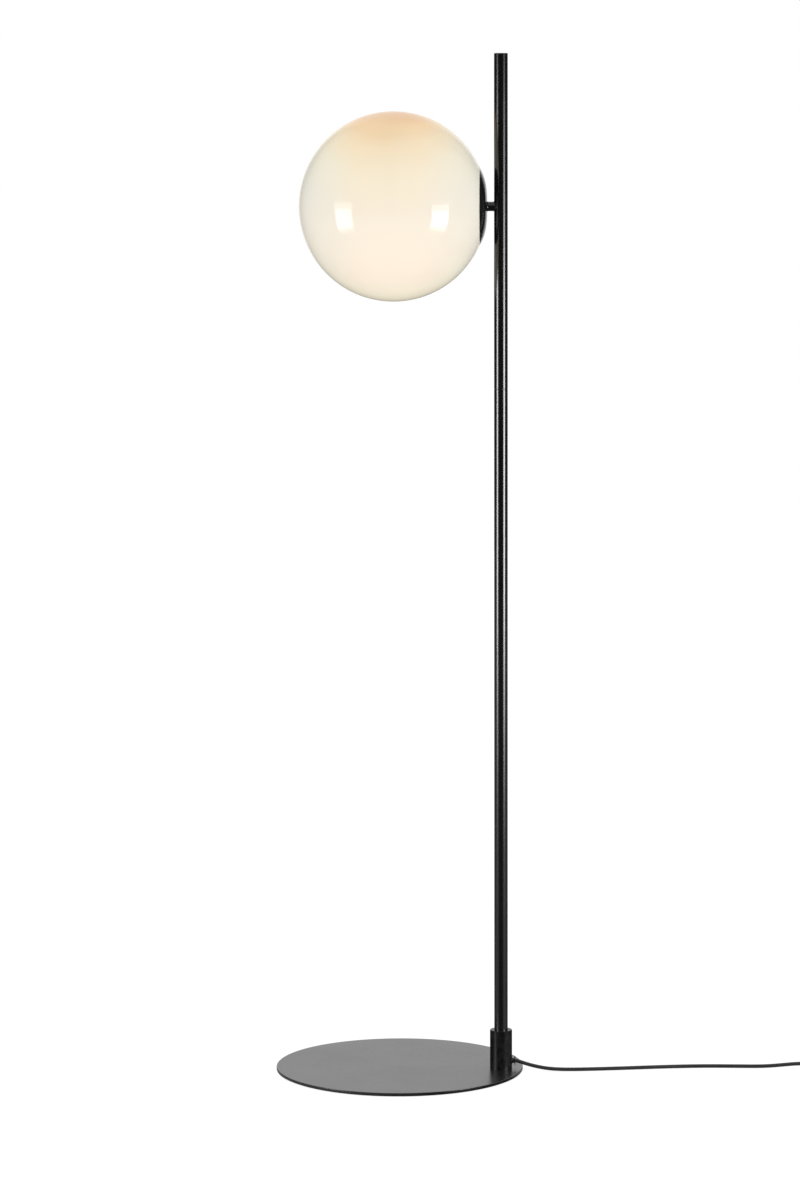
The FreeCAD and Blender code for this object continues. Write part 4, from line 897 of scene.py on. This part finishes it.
def make_strap():
    """Hook-and-loop strap wound round the coil, its end pressed down over its start."""
    low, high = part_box("cord_tie")
    thick = 0.0008
    half = thick / 2
    x0, x1 = low.x + half, high.x - half
    z0, z1 = low.z + half, high.z - half
    corner = 0.0034
    wide = high.y - low.y
    y_mid = (low.y + high.y) / 2
    line = []

    def arc(cx, cz, start):
        for k in range(9):
            turn = start - math.pi / 2 * k / 8
            line.append((cx + corner * math.cos(turn), cz + corner * math.sin(turn)))

    start_x = x0 + 0.35 * (x1 - x0)
    for k in range(12):
        line.append((start_x + (x1 - corner - start_x) * k / 12, z1))
    arc(x1 - corner, z1 - corner, math.pi / 2)
    arc(x1 - corner, z0 + corner, 0.0)
    for k in range(1, 16):
        line.append((x1 - corner + (x0 + 2 * corner - x1) * k / 16, z0))
    arc(x0 + corner, z0 + corner, -math.pi / 2)
    arc(x0 + corner, z1 - corner, math.pi)
    # the lapped end: share of the way to the start, and rise in thicknesses
    lap = [(0.15, 0.0), (0.45, 0.15), (0.75, 0.65), (1.0, 1.0),
           (1.5, 1.03), (2.1, 1.0), (2.6, 1.05), (3.0, 1.0)]
    for share, rise in lap:
        line.append((x0 + corner + (start_x - x0 - corner) * share, z1 + rise * (thick + 0.0001)))
    shape = bmesh.new()
    rows = []
    edge = 0.00022
    count = len(line)
    for k, (x, z) in enumerate(line):
        a = line[max(k - 1, 0)]
        b = line[min(k + 1, count - 1)]
        along = Vector((b[0] - a[0], b[1] - a[1])).normalized()
        out = Vector((-along.y, along.x))
        end = min(k, count - 1 - k)
        narrow = (0.0022, 0.0008, 0.0)[min(end, 2)]
        w = wide / 2 - narrow
        wave = 0.00008 * math.sin(2.1 * k)
        row = []
        section = [(-w + edge, -half), (w - edge, -half), (w, -half + edge), (w, half - edge),
                   (w - edge, half), (-w + edge, half), (-w, half - edge), (-w, -half + edge)]
        for y, n in section:
            row.append(shape.verts.new((x + out.x * (n + wave), y_mid + y, z + out.y * (n + wave))))
        rows.append(row)
    skin(shape, rows)
    shape.faces.new(rows[0])
    shape.faces.new(rows[-1])
    mesh = to_mesh(shape, "coil_strap")
    return finished(mesh, "coil_strap", "tie_strap", "root", ["cord_tie"])


make_globe()
make_disc()
make_tube("stem_lower", "lower_tube", LOWER_Z)
make_tube("stem_upper", "upper_tube", UPPER_Z)
make_top_cap()
make_arm()
make_cord_grip()
make_switch_cover()
make_switch_button()
make_button_spring()
make_plug_body()
make_pins()
make_strap()

# ---------------------------------------------------------------- finishes of the CAD nodes

for entry in frame["record"]["subparts"]:
    node = frame["nodes"][entry["node"]]
    node.data.materials.clear()
    finish = SHADED_SOCKET_COAT if entry["node"] == "base_socket" else MATERIALS[entry["material_slot"]]
    node.data.materials.append(finish)

# ---------------------------------------------------------------- the cord

TO_SWITCH = [
    (0.1540, -0.0130, 0.0148),
    (0.1572, -0.0130, 0.0144),
    (0.1618, -0.0130, 0.0131),
    (0.1680, -0.0130, 0.0110),
    (0.1756, -0.0129, 0.0087),
    (0.1860, -0.0127, 0.0062),
    (0.1985, -0.0124, 0.0040),
    (0.2120, -0.0119, 0.0029),
    (0.2290, -0.0110, 0.0025),
    (0.2560, -0.0086, 0.0025),
    (0.3020, -0.0016, 0.0025),
    (0.3530, 0.0076, 0.0025),
    (0.4040, 0.0136, 0.0025),
    (0.4520, 0.0132, 0.0025),
    (0.4890, 0.0089, 0.0034),
    (0.5150, 0.0050, 0.0066),
    (0.5320, 0.0040, 0.0085),
    (0.5480, 0.0040, 0.0085),
]
TO_COIL = [
    (0.6760, 0.0040, 0.0085),
    (0.6900, 0.0040, 0.0085),
    (0.7036, 0.0103, 0.0069),
    (0.7122, 0.0226, 0.0049),
    (0.7135, 0.0375, 0.0033),
    (0.7072, 0.0511, 0.0027),
    (0.6949, 0.0597, 0.0026),
    (0.6772, 0.0628, 0.0028),
    (0.6510, 0.0620, 0.0033),
    (0.6240, 0.0625, 0.0037),
    (0.5960, 0.0625, 0.0037),
]
TO_PLUG = [
    (0.5960, 0.1353, 0.0092),
    (0.6100, 0.1353, 0.0092),
    (0.6260, 0.1346, 0.0083),
    (0.6430, 0.1344, 0.0074),
    (0.6580, 0.1353, 0.0069),
    (0.6710, 0.1353, 0.0069),
]
COIL_AT = (0.590, 0.0975)
COIL_LOW_Z = 0.0037
COIL_LAYER = 0.0055
COIL_PITCH = 0.0056
COIL_INNER_R = 0.021
COIL_LOW_TURNS = 2.5
COIL_HIGH_TURNS = 3.0
TURN_POINTS = 16


def coil_points():
    """Turns of the spare cord: inwards in the lower layer, then outwards on top of it."""
    # the spline cuts inside its points, so these stand out by as much
    pull = 0.75 + 0.25 * math.cos(2 * math.pi / TURN_POINTS)
    points = []
    count = round(TURN_POINTS * (COIL_LOW_TURNS + COIL_HIGH_TURNS))
    for k in range(count + 1):
        turn = k / TURN_POINTS
        r = (COIL_INNER_R + COIL_PITCH * abs(COIL_LOW_TURNS - turn)) / pull
        climb = min(max((turn - COIL_LOW_TURNS + 0.25) / 0.5, 0.0), 1.0)
        angle = -math.pi / 2 - 2 * math.pi * turn
        x = COIL_AT[0] + r * math.cos(angle)
        y = COIL_AT[1] + r * math.sin(angle)
        points.append((x, y, COIL_LOW_Z + COIL_LAYER * climb))
    return points


def make_cord(name, points, replaces):
    """A round cord along a smooth spline."""
    curve = bpy.data.curves.new(name, "CURVE")
    curve.dimensions = "3D"
    curve.resolution_u = 8
    curve.bevel_depth = CORD_R
    curve.bevel_resolution = 6
    curve.use_fill_caps = True
    spline = curve.splines.new("NURBS")
    spline.points.add(len(points) - 1)
    for knot, place in zip(spline.points, points):
        knot.co = (*place, 1.0)
    spline.order_u = 3
    spline.use_endpoint_u = True
    curve.materials.append(MATERIALS["black_pvc"])
    piece = bpy.data.objects.new(name, curve)
    bpy.context.scene.collection.objects.link(piece)
    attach(piece, "root")
    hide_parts(*replaces)
    return piece


lamp_cord = make_cord("lamp_cord", TO_SWITCH, ["cord_to_switch"])
plug_cord = make_cord("plug_cord", TO_COIL[:-1] + coil_points() + TO_PLUG[1:],
                      ["cord_to_coil", "cord_coil", "cord_to_plug"])

# ---------------------------------------------------------------- floor, light and camera

FLOOR_R = 7.0
FILL = 0.62
FILL_ABOVE = 0.88
BACKDROP = 0.94
STUDIO_DARK = 0.04
CEILING = 0.5
FLOOR_COLOUR = (0.22, 0.22, 0.22, 1)
FLOOR_GLOW = 0.86
FLOOR_BOUNCE = 0.62
FLOOR_SHEEN_FRONT = 0.03
FLOOR_SHEEN_ASIDE = 0.33
FLOOR_SHEEN_BEHIND = 0.06
TURN_ASIDE = (-0.97, -0.60)
TURN_BEHIND = (0.1, 0.6)
GLOW_FADE = (0.6, 2.2)
BACKDROP_EDGE = (0.20, 0.50)
BACKDROP_FRONT = (0.0, 0.3)
CEILING_EDGE = (0.15, 0.6)


def make_floor():
    """Pale floor: white for the camera far off, and for gloss dim in front and behind the stem."""
    mesh = turned("floor", [(0, 0), (0, FLOOR_R)], (0, 0, -0.0002), (0, 0, 1), steps=96, closed=False)
    floor = bpy.data.objects.new("floor", mesh)
    bpy.context.scene.collection.objects.link(floor)
    material = bpy.data.materials.new("pale_floor")
    material.use_nodes = True
    tree = material.node_tree
    tree.nodes.clear()
    out = tree.nodes.new("ShaderNodeOutputMaterial")
    path = tree.nodes.new("ShaderNodeLightPath")
    lit = add_node(tree, "ShaderNodeBsdfDiffuse", Color=FLOOR_COLOUR)
    place = tree.nodes.new("ShaderNodeTexCoord").outputs["Object"]
    away = add_node(tree, "ShaderNodeVectorMath")
    away.operation = "LENGTH"
    tree.links.new(place, away.inputs[0])
    from_stem = add_node(tree, "ShaderNodeVectorMath")
    from_stem.operation = "SUBTRACT"
    tree.links.new(place, from_stem.inputs[0])
    from_stem.inputs[1].default_value = (STEM_AT.x, STEM_AT.y, 0)
    heading = add_node(tree, "ShaderNodeVectorMath")
    heading.operation = "NORMALIZE"
    tree.links.new(from_stem.outputs[0], heading.inputs[0])
    way = add_node(tree, "ShaderNodeSeparateXYZ")
    tree.links.new(heading.outputs[0], way.inputs[0])
    depth = way.outputs["Y"]
    rising = remap(tree, depth, *TURN_ASIDE, FLOOR_SHEEN_FRONT, FLOOR_SHEEN_ASIDE, "SMOOTHSTEP")
    falling = remap(tree, depth, *TURN_BEHIND, FLOOR_SHEEN_ASIDE, FLOOR_SHEEN_BEHIND, "SMOOTHSTEP")
    sheen = maths(tree, "MINIMUM", rising, falling)
    level = remap(tree, away.outputs["Value"], *GLOW_FADE, FLOOR_GLOW, 1.0, "SMOOTHSTEP")
    seen = maths(tree, "MULTIPLY", path.outputs["Is Camera Ray"], level)
    bounced = maths(tree, "MULTIPLY", path.outputs["Is Diffuse Ray"], FLOOR_BOUNCE)
    bright = add_node(tree, "ShaderNodeEmission", Color=(1, 1, 1, 1))
    tree.links.new(maths(tree, "ADD", seen, bounced), bright.inputs["Strength"])
    both = tree.nodes.new("ShaderNodeAddShader")
    tree.links.new(lit.outputs[0], both.inputs[0])
    tree.links.new(bright.outputs[0], both.inputs[1])
    mirrored = add_node(tree, "ShaderNodeEmission", Color=(1, 1, 1, 1), Strength=sheen)
    chosen = tree.nodes.new("ShaderNodeMixShader")
    tree.links.new(path.outputs["Is Glossy Ray"], chosen.inputs[0])
    tree.links.new(both.outputs[0], chosen.inputs[1])
    tree.links.new(mirrored.outputs[0], chosen.inputs[2])
    tree.links.new(chosen.outputs[0], out.inputs["Surface"])
    mesh.materials.append(material)


def make_world():
    """White for the camera; for gloss, a white backdrop behind the lamp and a dim studio."""
    world = bpy.data.worlds.new("studio")
    bpy.context.scene.world = world
    world.use_nodes = True
    tree = world.node_tree
    tree.nodes.clear()
    out = tree.nodes.new("ShaderNodeOutputWorld")
    path = tree.nodes.new("ShaderNodeLightPath")
    way = tree.nodes.new("ShaderNodeSeparateXYZ")
    tree.links.new(tree.nodes.new("ShaderNodeTexCoord").outputs["Generated"], way.inputs[0])
    beside = maths(tree, "ABSOLUTE", way.outputs["X"])
    narrow = remap(tree, beside, *BACKDROP_EDGE, BACKDROP, STUDIO_DARK, "SMOOTHSTEP")
    backdrop = maths(tree, "MULTIPLY", narrow, remap(tree, way.outputs["Y"], *BACKDROP_FRONT, 0.0, 1.0))
    ceiling = remap(tree, way.outputs["Z"], *CEILING_EDGE, 0.0, CEILING, "SMOOTHSTEP")
    behind = maths(tree, "MAXIMUM", backdrop, ceiling)
    mirrored = maths(tree, "MAXIMUM", path.outputs["Is Glossy Ray"], path.outputs["Is Transmission Ray"])
    sky = remap(tree, way.outputs["Z"], 0.0, 1.0, FILL, FILL_ABOVE)
    fill = add_node(tree, "ShaderNodeBackground", Color=(1, 1, 1, 1), Strength=sky)
    gloss = add_node(tree, "ShaderNodeBackground", Color=(1, 1, 1, 1), Strength=behind)
    white = add_node(tree, "ShaderNodeBackground", Color=(1, 1, 1, 1), Strength=1.0)
    first = tree.nodes.new("ShaderNodeMixShader")
    tree.links.new(mirrored, first.inputs[0])
    tree.links.new(fill.outputs[0], first.inputs[1])
    tree.links.new(gloss.outputs[0], first.inputs[2])
    second = tree.nodes.new("ShaderNodeMixShader")
    tree.links.new(path.outputs["Is Camera Ray"], second.inputs[0])
    tree.links.new(first.outputs[0], second.inputs[1])
    tree.links.new(white.outputs[0], second.inputs[2])
    tree.links.new(second.outputs[0], out.inputs["Surface"])


def softbox(name, azimuth, distance, span, wide, radiance, glossy=True, diffuse=True):
    """A rectangular light on one side, from one height to another, facing the globe's axis."""
    low, high = span
    tall = high - low
    light = bpy.data.lights.new(name, "AREA")
    light.shape = "RECTANGLE"
    light.size = wide
    light.size_y = tall
    light.energy = radiance * math.pi * wide * tall
    lamp = bpy.data.objects.new(name, light)
    bpy.context.scene.collection.objects.link(lamp)
    turn = math.radians(azimuth)
    height = (low + high) / 2
    lamp.location = (GLOBE_AT.x + distance * math.sin(turn), GLOBE_AT.y - distance * math.cos(turn), height)
    aim = Vector((GLOBE_AT.x, GLOBE_AT.y, height)) - lamp.location
    lamp.rotation_euler = aim.to_track_quat("-Z", "Y").to_euler()
    lamp.visible_glossy = glossy
    lamp.visible_diffuse = diffuse
    lamp.visible_camera = False


def make_lights():
    """Two softboxes, brightest in their lower middle, and a wide soft light from the front."""
    for name, azimuth, share, lift in (("left", -60, 0.80, 0.08), ("right", 60, 1.0, 0.0)):
        softbox(name + "_box_core", azimuth, 2.20, (0.30, 1.00 + lift), 0.84, 7.5 * share)
        softbox(name + "_box_body", azimuth, 2.22, (0.12, 1.24 + lift), 0.94, 3.6 * share, diffuse=False)
        softbox(name + "_box_edge", azimuth, 2.24, (0.00, 1.42), 0.98, 0.9, diffuse=False)
    softbox("front_fill", 0, 3.4, (1.1, 3.1), 2.4, 0.45, glossy=False)


def make_camera():
    """The photograph's camera, from a fit of the lamp's own edges."""
    focal_px = 4100.0
    photo_tall_px = 1201.0
    sensor = 36.0
    place = (0.1833, -5.3941, 1.2349)
    yaw = math.radians(1.923)
    pitch = math.radians(6.375)
    roll = math.radians(-0.166)
    data = bpy.data.cameras.new("camera")
    data.sensor_width = sensor
    data.lens = focal_px * sensor / photo_tall_px
    data.clip_end = 100.0
    camera = bpy.data.objects.new("camera", data)
    bpy.context.scene.collection.objects.link(camera)
    ahead = Vector((-math.sin(yaw) * math.cos(pitch), math.cos(yaw) * math.cos(pitch), -math.sin(pitch)))
    right = Vector((math.cos(yaw), math.sin(yaw), 0))
    up = right.cross(ahead)
    right_rolled = right * math.cos(roll) + up * math.sin(roll)
    up_rolled = up * math.cos(roll) - right * math.sin(roll)
    turn = Matrix((right_rolled, up_rolled, -ahead)).transposed()
    camera.matrix_world = Matrix.Translation(place) @ turn.to_4x4()
    bpy.context.scene.camera = camera


make_floor()
make_world()
make_lights()
make_camera()
bpy.context.scene.view_settings.view_transform = "Standard"
